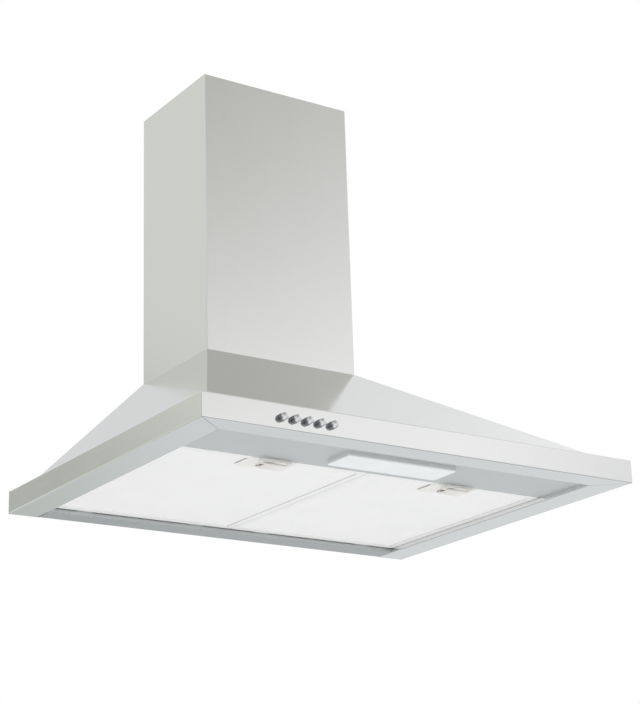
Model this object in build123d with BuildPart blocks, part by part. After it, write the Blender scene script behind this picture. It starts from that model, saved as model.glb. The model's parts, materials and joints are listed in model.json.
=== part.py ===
from build123d import *

import math
import os

# Wall-mounted chimney range hood, in millimetres.
#
# Frame: +X to the right, +Y into the wall, +Z up.  The origin is the centre of the wall
# plane at the underside of the rim, so the hood lies in y < 0 and z > 0.
#
# The stainless canopy is a low rim with three sloping sheets above it.  A folded deck
# closes its top and carries the blower below and the duct spigot above.  Two nested
# chimney covers hide the duct.  The underside holds a lamp panel and two mesh filters.

# ------------------------------------------------------------------ overall sizes
hood_width = 600.0
hood_depth = 475.0
rim_height = 29.0
ledge = 16.0                    # fascia to the foot of the slopes
canopy_height = 196.0           # underside of the rim to the top of the slopes
chimney_width = 224.0
chimney_depth = 168.0
lower_cover_height = 382.0
upper_cover_height = 352.0

# ------------------------------------------------------------------ sheet metal
sheet = 0.8
bend_radius = 1.6               # outside of a fold
mitre_gap = 0.4                 # open joint between two mitred flanges
ledge_lap = 7.0                 # ledge that runs on under the foot of a slope
seat_gap = 0.2                  # pieces that are set against each other
slide_gap = 0.3                 # sheets that slide past each other

# ------------------------------------------------------------------ underside
side_flange = 40.0
front_flange = 33.0
rear_flange = 30.0
upturn = 6.0                    # height of the flanges' inner edge
lamp_panel_depth = 93.0
panel_upstand = 18.0

# ------------------------------------------------------------------ wall fixing
wall_hole_radius = 4.0
wall_hole_span = 200.0
wall_hole_rise = 80.0
wall_hole_height = 65.0         # lower row above the underside of the rim

# ------------------------------------------------------------------ chimney and deck
cover_return = 12.0             # inward fold at the covers' rear edges
deck_upstand = 20.0
vent_slots = 6
vent_length = 46.0
vent_width = 4.0
vent_pitch = 14.0
vent_drop = 60.0                # middle of the vents below the upper cover's top edge
bracket_sheet = 1.5
bracket_height = 25.0
bracket_ear = 24.0
bracket_drop = 8.0
bracket_hole_span = 120.0
bracket_hole_radius = 3.0

# ------------------------------------------------------------------ filters
filter_thickness = 9.0
filter_side_gap = 0.5
filter_front_gap = 0.6
filter_rear_gap = 2.0
filter_skin = 0.8
filter_lip = 9.0                # width of the frame's folded lip
mesh_sheet = 0.6
mesh_cell_length = 22.0
mesh_cell_width = 13.0
mesh_pitch_x = 28.0
mesh_pitch_y = 26.0
core_fold = 12.0                # pitch of the folded core
core_height = 5.0
core_sheet = 0.8
hook_width = 20.0
hook_spread = 160.0
hook_sheet = 1.0
hook_drop = 3.8
hook_gap = 0.3                  # hook above the rear flange's edge

# ------------------------------------------------------------------ filter latches
latch_sheet = 1.6
latch_strip = 16.0
latch_bend = 2.4
loop_width = 39.0
loop_depth = 14.0
loop_bar = 3.0
loop_drop = 5.2                 # underside of the loop below the filter
loop_overhang = 7.6             # loop in front of the filter's front edge
neck_setback = 24.9             # rear of the latch's neck behind the filter's front edge
latch_travel = 6.0
tongue_reach = 1.2              # tongue past the keeper
latch_plate_width = 64.0
latch_plate_depth = 38.0
latch_lug = 4.6                 # height of the lugs that hold the spring
lug_width = 8.0
latch_spring_radius = 1.7
latch_spring_wire = 0.5
latch_spring_turns = 4

# ------------------------------------------------------------------ push buttons
button_radius = 4.3
button_reach = 8.0              # cap in front of the fascia
button_dome = 0.6
button_pitch = 16.2
button_count = 5
button_row_inset = 131.3        # middle of the row from the left end of the fascia
button_height = 12.6
button_travel = 3.5
button_collar = 1.4             # width of the collar that stops the cap
collar_thickness = 1.2
stem_radius = 2.2
stem_length = 17.0
running_gap = 0.05
switch_depth = 16.0
switch_height = 14.0
switch_margin = 9.0             # switch body beyond the outer buttons
switch_screw_depth = 7.0
bracket_foot = 9.0

# ------------------------------------------------------------------ lamp
lens_length = 152.0
lens_width = 45.0
lens_thickness = 1.8
lens_corner = 2.5
bezel_wall = 3.0
bezel_seat = 5.2                # width of the bezel above the lens's edge
bezel_leg = 4.0                 # clip above the lamp panel
lens_setback = 78.5             # middle of the lens behind the fascia
tray_margin = 3.0
tray_height = 33.0
bulb_radius = 12.5
bulb_length = 85.0
holder_radius = 14.0
holder_length = 26.0
lamp_axis_rise = 18.0           # bulb's axis above the lamp panel

# ------------------------------------------------------------------ blower
impeller_radius = 58.0
impeller_half_width = 48.0
impeller_eye = 50.0             # inner radius of the blades
blade_count = 22
blade_lead = 4.0                # degrees from a blade's root to its tip
blade_thickness = 1.2           # measured round the impeller's eye
blade_bow = 1.4
end_ring = 2.0
disc_thickness = 2.0
hub_radius = 9.0
hub_length = 12.0
shaft_radius = 3.0
tongue_gap = 5.0                # impeller to the housing's tongue
scroll_growth = 24.0
scroll_steps = 9                # steps that the scroll's curve is laid out in
scroll_wall = 2.0
scroll_side_gap = 7.0           # impeller to the housing's side walls
throat_length = 20.0
outlet_depth = 85.0
flange_lip = 12.0
flange_thickness = 3.0
inlet_radius = 48.0
inlet_collar = 3.0
boss_radius = 4.6
boss_half_length = 7.0
boss_angles = (125.0, 200.0, 262.0, 335.0)

# ------------------------------------------------------------------ motor
motor_radius = 34.0
motor_clearance = 6.0           # motor to the impeller's disc
end_bell_radius = 27.0
end_bell_depth = 9.0
seam_rise = 2.0                 # rolled seam round the middle of the can
seam_width = 3.0
vent_count = 8
bush_length = 5.0
bush_radius = 6.0
bush_circle = 59.0
spider_thickness = 2.0
spider_arm = 11.0
spider_hub = 30.0
spider_arms = 3
first_arm = 30.0                # degrees from the rear

# ------------------------------------------------------------------ electrics
capacitor_radius = 14.0
capacitor_length = 55.0
capacitor_x = -150.0
capacitor_z = 58.0
tab_width = 6.3                 # blade terminals on top of the capacitor
tab_height = 9.0
tab_sheet = 0.8
clip_sheet = 1.2
clip_height = 12.0
clip_foot = 30.0
box_width = 80.0
box_height = 50.0
box_depth = 28.0
box_wall = 2.0
box_x = 145.0
box_z = 75.0
grommet_radius = 8.0
grommet_bore = 4.5
grommet_lip = 2.5
grommet_inset = 15.6            # middle of the grommet from the deck's side
grommet_setback = 22.0          # and from the wall

# ------------------------------------------------------------------ duct spigot
spigot_radius = 60.0
spigot_wall = 2.5
spigot_height = 46.0
spigot_lead_in = 1.0            # taper that the duct slides on over
spigot_plate = 3.0
plate_clearance = 6.5           # grommet's lip to the spigot's plate
spigot_plate_depth = 136.0
flap_thickness = 1.2
flap_edge_gap = 0.8
flap_pin_radius = 1.5
flap_pin_height = 9.0           # above the spigot's plate
knuckle_radius = 2.8
knuckle_length = 17.0
knuckle_gap = 0.4
flap_ledge = 3.5

# ------------------------------------------------------------------ fasteners
screw_radius = 1.9
screw_gap = 0.1
head_ratio = 1.9                # head's radius to the shank's
head_top_ratio = 1.5
head_height_ratio = 1.2

# ------------------------------------------------------------------ derived places
half_width = hood_width / 2
button_row_x = -(half_width - button_row_inset)
foot_half_width = half_width - ledge
foot_depth = hood_depth - ledge
slope_rise = canopy_height - rim_height
side_slope = math.atan2(slope_rise, foot_half_width - chimney_width / 2)
front_slope = math.atan2(slope_rise, foot_depth - chimney_depth)
side_wall_run = sheet / math.sin(side_slope)
front_wall_run = sheet / math.sin(front_slope)

opening_half_width = half_width - side_flange
opening_front = -(hood_depth - front_flange)
panel_rear = opening_front + lamp_panel_depth

deck_half_width = chimney_width / 2 - side_wall_run - seat_gap
deck_front = -(chimney_depth - front_wall_run - seat_gap)
deck_rear = -(sheet + seat_gap)
deck_bottom = canopy_height - sheet
deck_rim = canopy_height + deck_upstand
grommet_x = deck_half_width - grommet_inset
grommet_y = -grommet_setback
spigot_plate_width = 2 * (grommet_x - grommet_radius - grommet_lip - plate_clearance)

filter_width = opening_half_width - 2 * filter_side_gap
filter_x = opening_half_width / 2
filter_front = panel_rear + filter_front_gap
filter_rear = -rear_flange - filter_rear_gap
filter_length = filter_rear - filter_front
filter_y = (filter_front + filter_rear) / 2

shaft_y = -chimney_depth / 2 + outlet_depth / 2 - (impeller_radius + tongue_gap + scroll_growth)
tongue_radius = impeller_radius + tongue_gap
tongue_angle = math.acos((tongue_radius + scroll_growth - outlet_depth) / tongue_radius)
shaft_z = deck_bottom - throat_length - tongue_radius * math.sin(tongue_angle)
scroll_half_width = impeller_half_width + scroll_side_gap
scroll_side = scroll_half_width + scroll_wall
duct_y = -chimney_depth / 2

os.makedirs("parts", exist_ok=True)


def block(low, high, mode=Mode.ADD):
    """Box between two opposite corners."""
    middle = [(a + b) / 2 for a, b in zip(low, high)]
    with Locations(tuple(middle)):
        Box(*[b - a for a, b in zip(low, high)], mode=mode)


def folded(plane, outer_line, side, radius=bend_radius, thickness=sheet):
    """Section of a folded sheet, from the line of its outer face."""
    with BuildSketch(plane) as section:
        with BuildLine():
            FilletPolyline(*outer_line, radius=radius)
            offset(amount=thickness, side=side)
        make_face()
    return section.sketch


def screw(length, radius=screw_radius):
    """Pan-head screw at each current location, its head above and its shank below."""
    Cylinder(radius, length, align=(Align.CENTER, Align.CENTER, Align.MAX))
    head = (Align.CENTER, Align.CENTER, Align.MIN)
    Cone(head_ratio * radius, head_top_ratio * radius, head_height_ratio * radius, align=head)


def save(piece, name):
    """Label a finished piece and write it."""
    piece.part.label = name
    export_step(piece.part, f"parts/{name}.step")


# ================================================================== canopy
def canopy_section(height, half, depth, side_inset, front_inset, rear):
    """Rectangle of the canopy at one height, drawn in from its outside."""
    front = -(depth - front_inset)
    with BuildSketch(Plane.XY.offset(height)) as section:
        with Locations((0, (front + rear) / 2)):
            Rectangle(2 * (half - side_inset), rear - front)
    return section.sketch


def canopy_block(side_inset, front_inset, rear, mode):
    """Pyramid from the rim to the chimney."""
    foot = canopy_section(rim_height, foot_half_width, foot_depth, side_inset, front_inset, rear)
    top = canopy_section(
        canopy_height, chimney_width / 2, chimney_depth, side_inset, front_inset, rear
    )
    loft([foot, top], mode=mode)


def sloping_sheets():
    """The three sloping sheets in one, open at the rear and below."""
    canopy_block(0, 0, -sheet, Mode.ADD)
    canopy_block(side_wall_run, front_wall_run, sheet, Mode.SUBTRACT)


hip_foot = Vector(-foot_half_width, -foot_depth, rim_height)
hip_edge = Vector(-chimney_width / 2, -chimney_depth, canopy_height) - hip_foot
hip_thickness = Vector(side_wall_run, front_wall_run, 0)
left_hip = Plane(origin=hip_foot, x_dir=hip_edge, z_dir=hip_edge.cross(hip_thickness))

with BuildPart() as canopy_left:
    sloping_sheets()
    split(bisect_by=left_hip, keep=Keep.TOP)
    split(bisect_by=Plane.YZ, keep=Keep.BOTTOM)
save(canopy_left, "canopy_left")

with BuildPart() as canopy_right:
    mirror(canopy_left.part, about=Plane.YZ)
save(canopy_right, "canopy_right")

with BuildPart() as canopy_front:
    sloping_sheets()
    split(bisect_by=left_hip, keep=Keep.BOTTOM)
    split(bisect_by=Plane.YZ, keep=Keep.BOTTOM)
    mirror(about=Plane.YZ)
save(canopy_front, "canopy_front")

# ================================================================== rim
left_mitre = Plane(
    origin=(-half_width, -hood_depth, 0),
    x_dir=(side_flange, front_flange, 0),
    z_dir=(front_flange, -side_flange, 0),
)


def rim_section(plane, reach, flange):
    """Folded section of the rim: ledge, fascia, bottom flange and upturned edge."""
    line = (
        (-reach + ledge + ledge_lap, rim_height),
        (-reach, rim_height),
        (-reach, 0),
        (-reach + flange, 0),
        (-reach + flange, upturn),
    )
    return folded(plane, line, Side.LEFT)


def button_places(y):
    """Planes on the row of buttons, at the given depth and facing forwards."""
    middle = (button_count - 1) / 2
    return [
        Plane(
            origin=(button_row_x + (index - middle) * button_pitch, y, button_height),
            x_dir=(1, 0, 0),
            z_dir=(0, -1, 0),
        )
        for index in range(button_count)
    ]


with BuildPart() as rim_front:
    extrude(rim_section(Plane.YZ, hood_depth, front_flange), amount=half_width, both=True)
    split(bisect_by=left_mitre.offset(mitre_gap / 2), keep=Keep.TOP)
    split(bisect_by=Plane.YZ, keep=Keep.BOTTOM)
    mirror(about=Plane.YZ)
    with Locations(*button_places(-hood_depth)):
        Hole(button_radius + slide_gap, depth=2 * sheet)
save(rim_front, "rim_front")

with BuildPart() as rim_left:
    extrude(rim_section(Plane.XZ.offset(sheet), half_width, side_flange), amount=hood_depth - sheet)
    split(bisect_by=left_mitre.offset(-mitre_gap / 2), keep=Keep.BOTTOM)
save(rim_left, "rim_left")

with BuildPart() as rim_right:
    mirror(rim_left.part, about=Plane.YZ)
save(rim_right, "rim_right")

# ================================================================== back panel
fold_half_width = opening_half_width - slide_gap

with BuildPart() as back_panel:
    with BuildSketch(Plane.XZ) as outline:
        with BuildLine():
            Polyline(
                (-half_width, 0),
                (-fold_half_width, 0),
                (-fold_half_width, bend_radius),
                (fold_half_width, bend_radius),
                (fold_half_width, 0),
                (half_width, 0),
                (half_width, rim_height),
                (foot_half_width, rim_height),
                (chimney_width / 2, canopy_height),
                (-chimney_width / 2, canopy_height),
                (-foot_half_width, rim_height),
                (-half_width, rim_height),
                close=True,
            )
        make_face()
        with Locations((0, wall_hole_height + wall_hole_rise / 2)):
            with GridLocations(wall_hole_span, wall_hole_rise, 2, 2):
                Circle(wall_hole_radius, mode=Mode.SUBTRACT)
    extrude(amount=sheet)
    rear_line = ((0, rim_height / 2), (0, 0), (-rear_flange, 0), (-rear_flange, upturn))
    extrude(folded(Plane.YZ, rear_line, Side.RIGHT), amount=fold_half_width, both=True)
save(back_panel, "back_panel")

# ================================================================== deck
outlet_half_width = scroll_half_width
fixing_x = outlet_half_width + scroll_wall + flange_lip / 2
fixing_y = outlet_depth / 2 + scroll_wall + flange_lip / 2

with BuildPart() as deck:
    with BuildSketch(Plane.XY.offset(deck_bottom)):
        with Locations((0, (deck_front + deck_rear) / 2)):
            RectangleRounded(2 * deck_half_width, deck_rear - deck_front, bend_radius)
    extrude(amount=sheet + deck_upstand)
    offset(amount=-sheet, openings=deck.faces().sort_by(Axis.Z)[-1])
    with BuildSketch(Plane.XY.offset(deck_bottom)):
        with Locations((0, duct_y)):
            Rectangle(2 * outlet_half_width, outlet_depth)
            with GridLocations(2 * fixing_x, 2 * fixing_y, 2, 2):
                Circle(screw_radius + screw_gap)
        with Locations((grommet_x, grommet_y)):
            Circle(grommet_radius)
    extrude(amount=sheet, mode=Mode.SUBTRACT)
save(deck, "deck")

with BuildPart() as cable_grommet:
    with BuildSketch(Plane.XZ.offset(-grommet_y)):
        with BuildLine():
            Polyline(
                (grommet_x + grommet_bore, deck_bottom - grommet_lip),
                (grommet_x + grommet_radius + grommet_lip, deck_bottom - grommet_lip),
                (grommet_x + grommet_radius + grommet_lip, deck_bottom),
                (grommet_x + grommet_radius, deck_bottom),
                (grommet_x + grommet_radius, canopy_height),
                (grommet_x + grommet_radius + grommet_lip, canopy_height),
                (grommet_x + grommet_bore + grommet_lip, canopy_height + grommet_lip),
                (grommet_x + grommet_bore, canopy_height + grommet_lip),
                close=True,
            )
        make_face()
    revolve(axis=Axis((grommet_x, grommet_y, 0), (0, 0, 1)))
save(cable_grommet, "cable_grommet")


# ================================================================== chimney covers
def cover_section(height, inset):
    """U-shaped section of a chimney cover with its rear edges folded in."""
    side = chimney_width / 2 - inset
    front = -(chimney_depth - inset)
    line = (
        (-side + cover_return, -inset),
        (-side, -inset),
        (-side, front),
        (side, front),
        (side, -inset),
        (side - cover_return, -inset),
    )
    return folded(Plane.XY.offset(height), line, Side.LEFT)


with BuildPart() as lower_chimney_cover:
    extrude(cover_section(canopy_height, 0), amount=lower_cover_height)
save(lower_chimney_cover, "lower_chimney_cover")

upper_inset = sheet + slide_gap
upper_bottom = deck_rim + seat_gap
upper_top = upper_bottom + upper_cover_height
bracket_half_width = chimney_width / 2 - upper_inset - sheet - seat_gap
bracket_rear = -(upper_inset + sheet + seat_gap)
bracket_z = upper_top - bracket_drop - bracket_height / 2
ear_screw_y = bracket_rear - bracket_ear / 2
ear_screws = [
    Plane(
        origin=(side * (bracket_half_width - bracket_sheet), ear_screw_y, bracket_z),
        x_dir=(0, 1, 0),
        z_dir=(-side, 0, 0),
    )
    for side in (-1, 1)
]

with BuildPart() as upper_chimney_cover:
    extrude(cover_section(upper_bottom, upper_inset), amount=upper_cover_height)
    with BuildSketch(Plane.YZ):
        with Locations((duct_y, upper_top - vent_drop)):
            with GridLocations(vent_pitch, 1, vent_slots, 1):
                SlotOverall(vent_length, vent_width, rotation=90)
    extrude(amount=chimney_width, both=True, mode=Mode.SUBTRACT)
    with Locations(*ear_screws):
        Hole(screw_radius + screw_gap, depth=bracket_sheet + seat_gap + 2 * sheet)
save(upper_chimney_cover, "upper_chimney_cover")

with BuildPart() as ceiling_bracket:
    bracket_line = (
        (-bracket_half_width, bracket_rear - bracket_ear),
        (-bracket_half_width, bracket_rear),
        (bracket_half_width, bracket_rear),
        (bracket_half_width, bracket_rear - bracket_ear),
    )
    bracket_section = folded(
        Plane.XY.offset(bracket_z - bracket_height / 2),
        bracket_line,
        Side.RIGHT,
        radius=2 * bracket_sheet,
        thickness=bracket_sheet,
    )
    extrude(bracket_section, amount=bracket_height)
    with BuildSketch(Plane.XZ.offset(-bracket_rear)):
        with Locations((0, bracket_z)):
            with GridLocations(bracket_hole_span, 1, 2, 1):
                Circle(bracket_hole_radius)
    extrude(amount=bracket_sheet, mode=Mode.SUBTRACT)
    with Locations(*ear_screws):
        Hole(screw_radius + screw_gap, depth=2 * bracket_sheet)
save(ceiling_bracket, "ceiling_bracket")

with BuildPart() as bracket_screws:
    with Locations(*ear_screws):
        screw(bracket_sheet + seat_gap + sheet)
save(bracket_screws, "bracket_screws")

# ================================================================== lamp panel
latch_tongue_top = upturn + filter_skin + seat_gap + slide_gap + latch_sheet
lens_y = -hood_depth + lens_setback
panel_top = upturn + sheet

with BuildPart() as lamp_panel:
    panel_line = (
        (opening_front - sheet, upturn),
        (panel_rear, upturn),
        (panel_rear, upturn + panel_upstand),
    )
    extrude(folded(Plane.YZ, panel_line, Side.LEFT), amount=opening_half_width + sheet, both=True)
    with BuildSketch(Plane.XY.offset(upturn)):
        with Locations((0, lens_y)):
            RectangleRounded(lens_length - 2 * bezel_wall, lens_width - 2 * bezel_wall, lens_corner)
    extrude(amount=sheet, mode=Mode.SUBTRACT)
    for side in (-1, 1):
        keeper_half = latch_strip / 2 + 2 * slide_gap
        block(
            (side * filter_x - keeper_half, panel_rear - 2 * bend_radius, upturn - sheet),
            (side * filter_x + keeper_half, panel_rear + sheet, latch_tongue_top + slide_gap),
            mode=Mode.SUBTRACT,
        )
save(lamp_panel, "lamp_panel")

with BuildPart() as lamp_bezel:
    with BuildSketch(Plane.XY.offset(lens_thickness)):
        with Locations((0, lens_y)):
            RectangleRounded(lens_length, lens_width, lens_corner)
    extrude(amount=upturn - lens_thickness)
    with BuildSketch(Plane.XY.offset(upturn)):
        with Locations((0, lens_y)):
            RectangleRounded(
                lens_length - 2 * (bezel_wall + seat_gap),
                lens_width - 2 * (bezel_wall + seat_gap),
                lens_corner,
            )
    extrude(amount=bezel_leg)
    with BuildSketch(Plane.XY.offset(lens_thickness)):
        with Locations((0, lens_y)):
            RectangleRounded(
                lens_length - 2 * bezel_seat,
                lens_width - 2 * bezel_seat,
                lens_corner,
            )
    extrude(amount=upturn + bezel_leg, mode=Mode.SUBTRACT)
save(lamp_bezel, "lamp_bezel")

with BuildPart() as lamp_lens:
    with BuildSketch():
        with Locations((0, lens_y)):
            RectangleRounded(lens_length, lens_width, lens_corner)
    extrude(amount=lens_thickness)
    chamfer(lamp_lens.faces().sort_by(Axis.Z)[0].edges(), length=lens_thickness / 3)
    with BuildSketch(Plane.XY.offset(lens_thickness)):
        with Locations((0, lens_y)):
            RectangleRounded(
                lens_length - 2 * (bezel_seat + seat_gap),
                lens_width - 2 * (bezel_seat + seat_gap),
                lens_corner,
            )
    extrude(amount=lens_thickness)
save(lamp_lens, "lamp_lens")

lamp_axis_z = panel_top + lamp_axis_rise
tray_half_length = lens_length / 2 + tray_margin
tray_half_width = lens_width / 2 + tray_margin

with BuildPart() as lamp_tray:
    with BuildSketch(Plane.XY.offset(panel_top)):
        with Locations((0, lens_y)):
            RectangleRounded(2 * tray_half_length, 2 * tray_half_width, 2 * bend_radius)
    extrude(amount=tray_height)
    chamfer(lamp_tray.faces().sort_by(Axis.Z)[-1].edges(), length=sheet)
    with BuildSketch(Plane.XY.offset(panel_top)):
        with Locations((0, lens_y)):
            inner = (2 * (tray_half_length - sheet), 2 * (tray_half_width - sheet))
            RectangleRounded(*inner, 2 * bend_radius - sheet)
    extrude(amount=tray_height - sheet, mode=Mode.SUBTRACT)
save(lamp_tray, "lamp_tray")

holder_start = -tray_half_length + sheet
socket = Plane(origin=(holder_start, lens_y, lamp_axis_z), x_dir=(0, 1, 0), z_dir=(1, 0, 0))

with BuildPart() as lamp_holder:
    with BuildSketch(socket):
        Circle(holder_radius)
    extrude(amount=holder_length)
    with BuildSketch(socket.offset(holder_length)):
        Circle(holder_radius - box_wall)
    extrude(amount=-holder_length / 2, mode=Mode.SUBTRACT)
    chamfer(lamp_holder.faces().sort_by(Axis.X)[0].edges(), length=box_wall)
save(lamp_holder, "lamp_holder")

with BuildPart() as lamp_bulb:
    cap_radius = holder_radius / 2
    bulb_start = holder_length / 2
    with BuildSketch(Plane.XZ.offset(-lens_y)):
        with BuildLine():
            base = Polyline(
                (holder_start + bulb_start, lamp_axis_z),
                (holder_start + bulb_start, lamp_axis_z + cap_radius),
                (holder_start + holder_length, lamp_axis_z + cap_radius),
                (holder_start + holder_length + bulb_radius / 2, lamp_axis_z + bulb_radius),
                (holder_start + bulb_start + bulb_length - bulb_radius, lamp_axis_z + bulb_radius),
            )
            dome = ThreePointArc(
                base @ 1,
                (
                    holder_start + bulb_start + bulb_length - bulb_radius * (1 - math.sin(math.pi / 4)),
                    lamp_axis_z + bulb_radius * math.cos(math.pi / 4),
                ),
                (holder_start + bulb_start + bulb_length, lamp_axis_z),
            )
            Line(dome @ 1, base @ 0)
        make_face()
    revolve(axis=Axis((0, lens_y, lamp_axis_z), (1, 0, 0)))
save(lamp_bulb, "lamp_bulb")

# ================================================================== push buttons
fascia_rear = -hood_depth + sheet
collar_rear = fascia_rear + running_gap + collar_thickness
switch_front = collar_rear + button_travel + slide_gap
switch_half_width = 2 * button_pitch + button_radius + switch_margin
switch_rear = switch_front + switch_depth
switch_low = button_height - switch_height / 2
switch_high = button_height + switch_height / 2

switch_screw_places = [
    Plane(
        origin=(
            button_row_x + side * (switch_half_width - switch_margin / 2),
            switch_rear + seat_gap + sheet,
            button_height,
        ),
        x_dir=(-1, 0, 0),
        z_dir=(0, 1, 0),
    )
    for side in (-1, 1)
]

with BuildPart() as switch_body:
    with BuildSketch(Plane.XY.offset(switch_low)):
        with Locations((button_row_x, (switch_front + switch_rear) / 2)):
            RectangleRounded(2 * switch_half_width, switch_depth, bend_radius)
    extrude(amount=switch_height)
    with Locations(*button_places(switch_front)):
        CounterBoreHole(stem_radius + running_gap, 1.6 * stem_radius, collar_thickness)
    with Locations(*switch_screw_places):
        Hole(screw_radius + screw_gap, depth=sheet + seat_gap + switch_screw_depth)
save(switch_body, "switch_body")

with BuildPart() as switch_bracket:
    reach = switch_half_width + seat_gap
    bracket_back = switch_rear + seat_gap
    switch_line = (
        (button_row_x - reach - bracket_foot, fascia_rear),
        (button_row_x - reach, fascia_rear),
        (button_row_x - reach, bracket_back),
        (button_row_x + reach, bracket_back),
        (button_row_x + reach, fascia_rear),
        (button_row_x + reach + bracket_foot, fascia_rear),
    )
    extrude(folded(Plane.XY.offset(switch_low), switch_line, Side.LEFT), amount=switch_height)
    with Locations(*switch_screw_places):
        Hole(screw_radius + screw_gap, depth=2 * sheet)
save(switch_bracket, "switch_bracket")

with BuildPart() as switch_screws:
    with Locations(*switch_screw_places):
        screw(sheet + seat_gap + switch_screw_depth - screw_gap)
save(switch_screws, "switch_screws")

crown_edge = button_radius - button_dome
crown_radius = (crown_edge**2 + button_dome**2) / (2 * button_dome)
crown_mid_drop = crown_radius - math.sqrt(crown_radius**2 - (crown_edge / 2) ** 2)
button_names = ("button_off", "button_speed_1", "button_speed_2", "button_speed_3", "button_light")
for name, place in zip(button_names, button_places(-hood_depth)):
    side_plane = Plane(origin=place.origin, x_dir=(1, 0, 0), z_dir=(0, 0, 1))
    collar_front = sheet + running_gap
    collar_back = collar_front + collar_thickness
    with BuildPart() as button:
        with BuildSketch(side_plane):
            with BuildLine():
                cap_line = Polyline(
                    (0, collar_front + stem_length),
                    (stem_radius, collar_front + stem_length),
                    (stem_radius, collar_back),
                    (button_radius + button_collar, collar_back),
                    (button_radius + button_collar, collar_front),
                    (button_radius, collar_front),
                    (button_radius, -button_reach + 2 * button_dome),
                    (crown_edge, -button_reach + button_dome),
                )
                crown = ThreePointArc(
                    cap_line @ 1,
                    (crown_edge / 2, -button_reach + crown_mid_drop),
                    (0, -button_reach),
                )
                Line(crown @ 1, cap_line @ 0)
            make_face()
        revolve(axis=Axis(place.origin, (0, 1, 0)))
    save(button, name)


# ================================================================== filters
loop_front = filter_front - loop_overhang
loop_rear = loop_front + loop_depth
loop_bottom = upturn - loop_drop
neck_rear = filter_front + neck_setback
plate_front = filter_front + filter_side_gap
plate_rear = plate_front + latch_plate_depth
plate_bottom = upturn - filter_skin
lug_top = latch_tongue_top + latch_lug
lug_front = plate_rear - 2 * filter_skin
cut_rear = plate_rear - filter_skin
cut_half = latch_plate_width / 2 - 2 * filter_skin


def filter_frame(centre):
    """Channel frame of a filter, with the rear hooks and the slot for the latch's tongue."""
    with BuildPart() as frame:
        with BuildSketch(Plane.XY.offset(upturn)):
            with Locations((centre, filter_y)):
                RectangleRounded(filter_width, filter_length, bend_radius)
        extrude(amount=filter_thickness)
        with BuildSketch(Plane.XY.offset(upturn + filter_skin)):
            with Locations((centre, filter_y)):
                Rectangle(filter_width - 2 * filter_skin, filter_length - 2 * filter_skin)
        extrude(amount=filter_thickness - 2 * filter_skin, mode=Mode.SUBTRACT)
        with BuildSketch(Plane.XY.offset(upturn)):
            with Locations((centre, filter_y)):
                Rectangle(filter_width - 2 * filter_lip, filter_length - 2 * filter_lip)
        extrude(amount=filter_thickness, mode=Mode.SUBTRACT)
        block(
            (
                centre - latch_strip / 2 - slide_gap,
                filter_front - filter_skin,
                upturn + filter_skin,
            ),
            (
                centre + latch_strip / 2 + slide_gap,
                filter_front + 2 * filter_skin,
                latch_tongue_top + slide_gap,
            ),
            mode=Mode.SUBTRACT,
        )
        hook_rear = -rear_flange + sheet + 2 * slide_gap
        hook_line = (
            (filter_rear - filter_skin, upturn + hook_gap),
            (hook_rear, upturn + hook_gap),
            (hook_rear, upturn + hook_gap - hook_drop),
        )
        for offset_x in (-hook_spread / 2, hook_spread / 2):
            hook = folded(
                Plane.YZ.offset(centre + offset_x),
                hook_line,
                Side.LEFT,
                radius=hook_sheet / 2,
                thickness=hook_sheet,
            )
            extrude(hook, amount=hook_width / 2, both=True)
    return frame


def filter_mesh(centre):
    """Face sheet of a filter, slit and stretched into diamonds, lying inside the frame."""
    width = filter_width - 2 * filter_skin - 2 * seat_gap
    length = filter_length - 2 * filter_skin - 2 * seat_gap
    columns = int((filter_width - 2 * filter_lip) / mesh_pitch_x)
    rows = int((filter_length - 2 * filter_lip - latch_plate_depth) / mesh_pitch_y)
    field_y = (cut_rear + filter_rear - filter_lip) / 2
    with BuildPart() as mesh:
        with BuildSketch(Plane.XY.offset(upturn + filter_skin)):
            with Locations((centre, filter_y)):
                Rectangle(width, length)
            cut_front = filter_front + filter_lip
            with Locations((centre, (cut_front + cut_rear) / 2)):
                Rectangle(2 * cut_half, cut_rear - cut_front, mode=Mode.SUBTRACT)
            with Locations((centre, filter_front)):
                Rectangle(2 * cut_half, 2 * filter_lip, mode=Mode.SUBTRACT)
            for shift, fewer in ((0, 0), (0.5, 1)):
                with Locations((centre, field_y)):
                    with GridLocations(mesh_pitch_x, mesh_pitch_y, columns - fewer, rows - fewer):
                        Polygon(
                            (-mesh_cell_length / 2, 0),
                            (0, -mesh_cell_width / 2),
                            (mesh_cell_length / 2, 0),
                            (0, mesh_cell_width / 2),
                            mode=Mode.SUBTRACT,
                        )
        extrude(amount=mesh_sheet)
    return mesh


def filter_core(centre):
    """Folded inner layer of a filter, resting on the face sheet."""
    base = upturn + filter_skin + mesh_sheet + seat_gap
    width = filter_width - 2 * filter_skin - 4 * seat_gap
    folds = int(width / core_fold)
    start = centre - folds * core_fold / 2
    crest = base + core_height
    points = []
    for index in range(folds):
        points.append((start + index * core_fold, base))
        points.append((start + (index + 0.5) * core_fold, crest - core_sheet))
    points.append((start + folds * core_fold, base))
    upper = [(x, z + core_sheet) for x, z in reversed(points)]
    core_rear = filter_rear - filter_skin - 2 * seat_gap
    with BuildPart() as core:
        with BuildSketch(Plane.XZ.offset(-core_rear)):
            with BuildLine():
                Polyline(*points, *upper, close=True)
            make_face()
        extrude(amount=core_rear - cut_rear - seat_gap)
    return core


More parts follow.
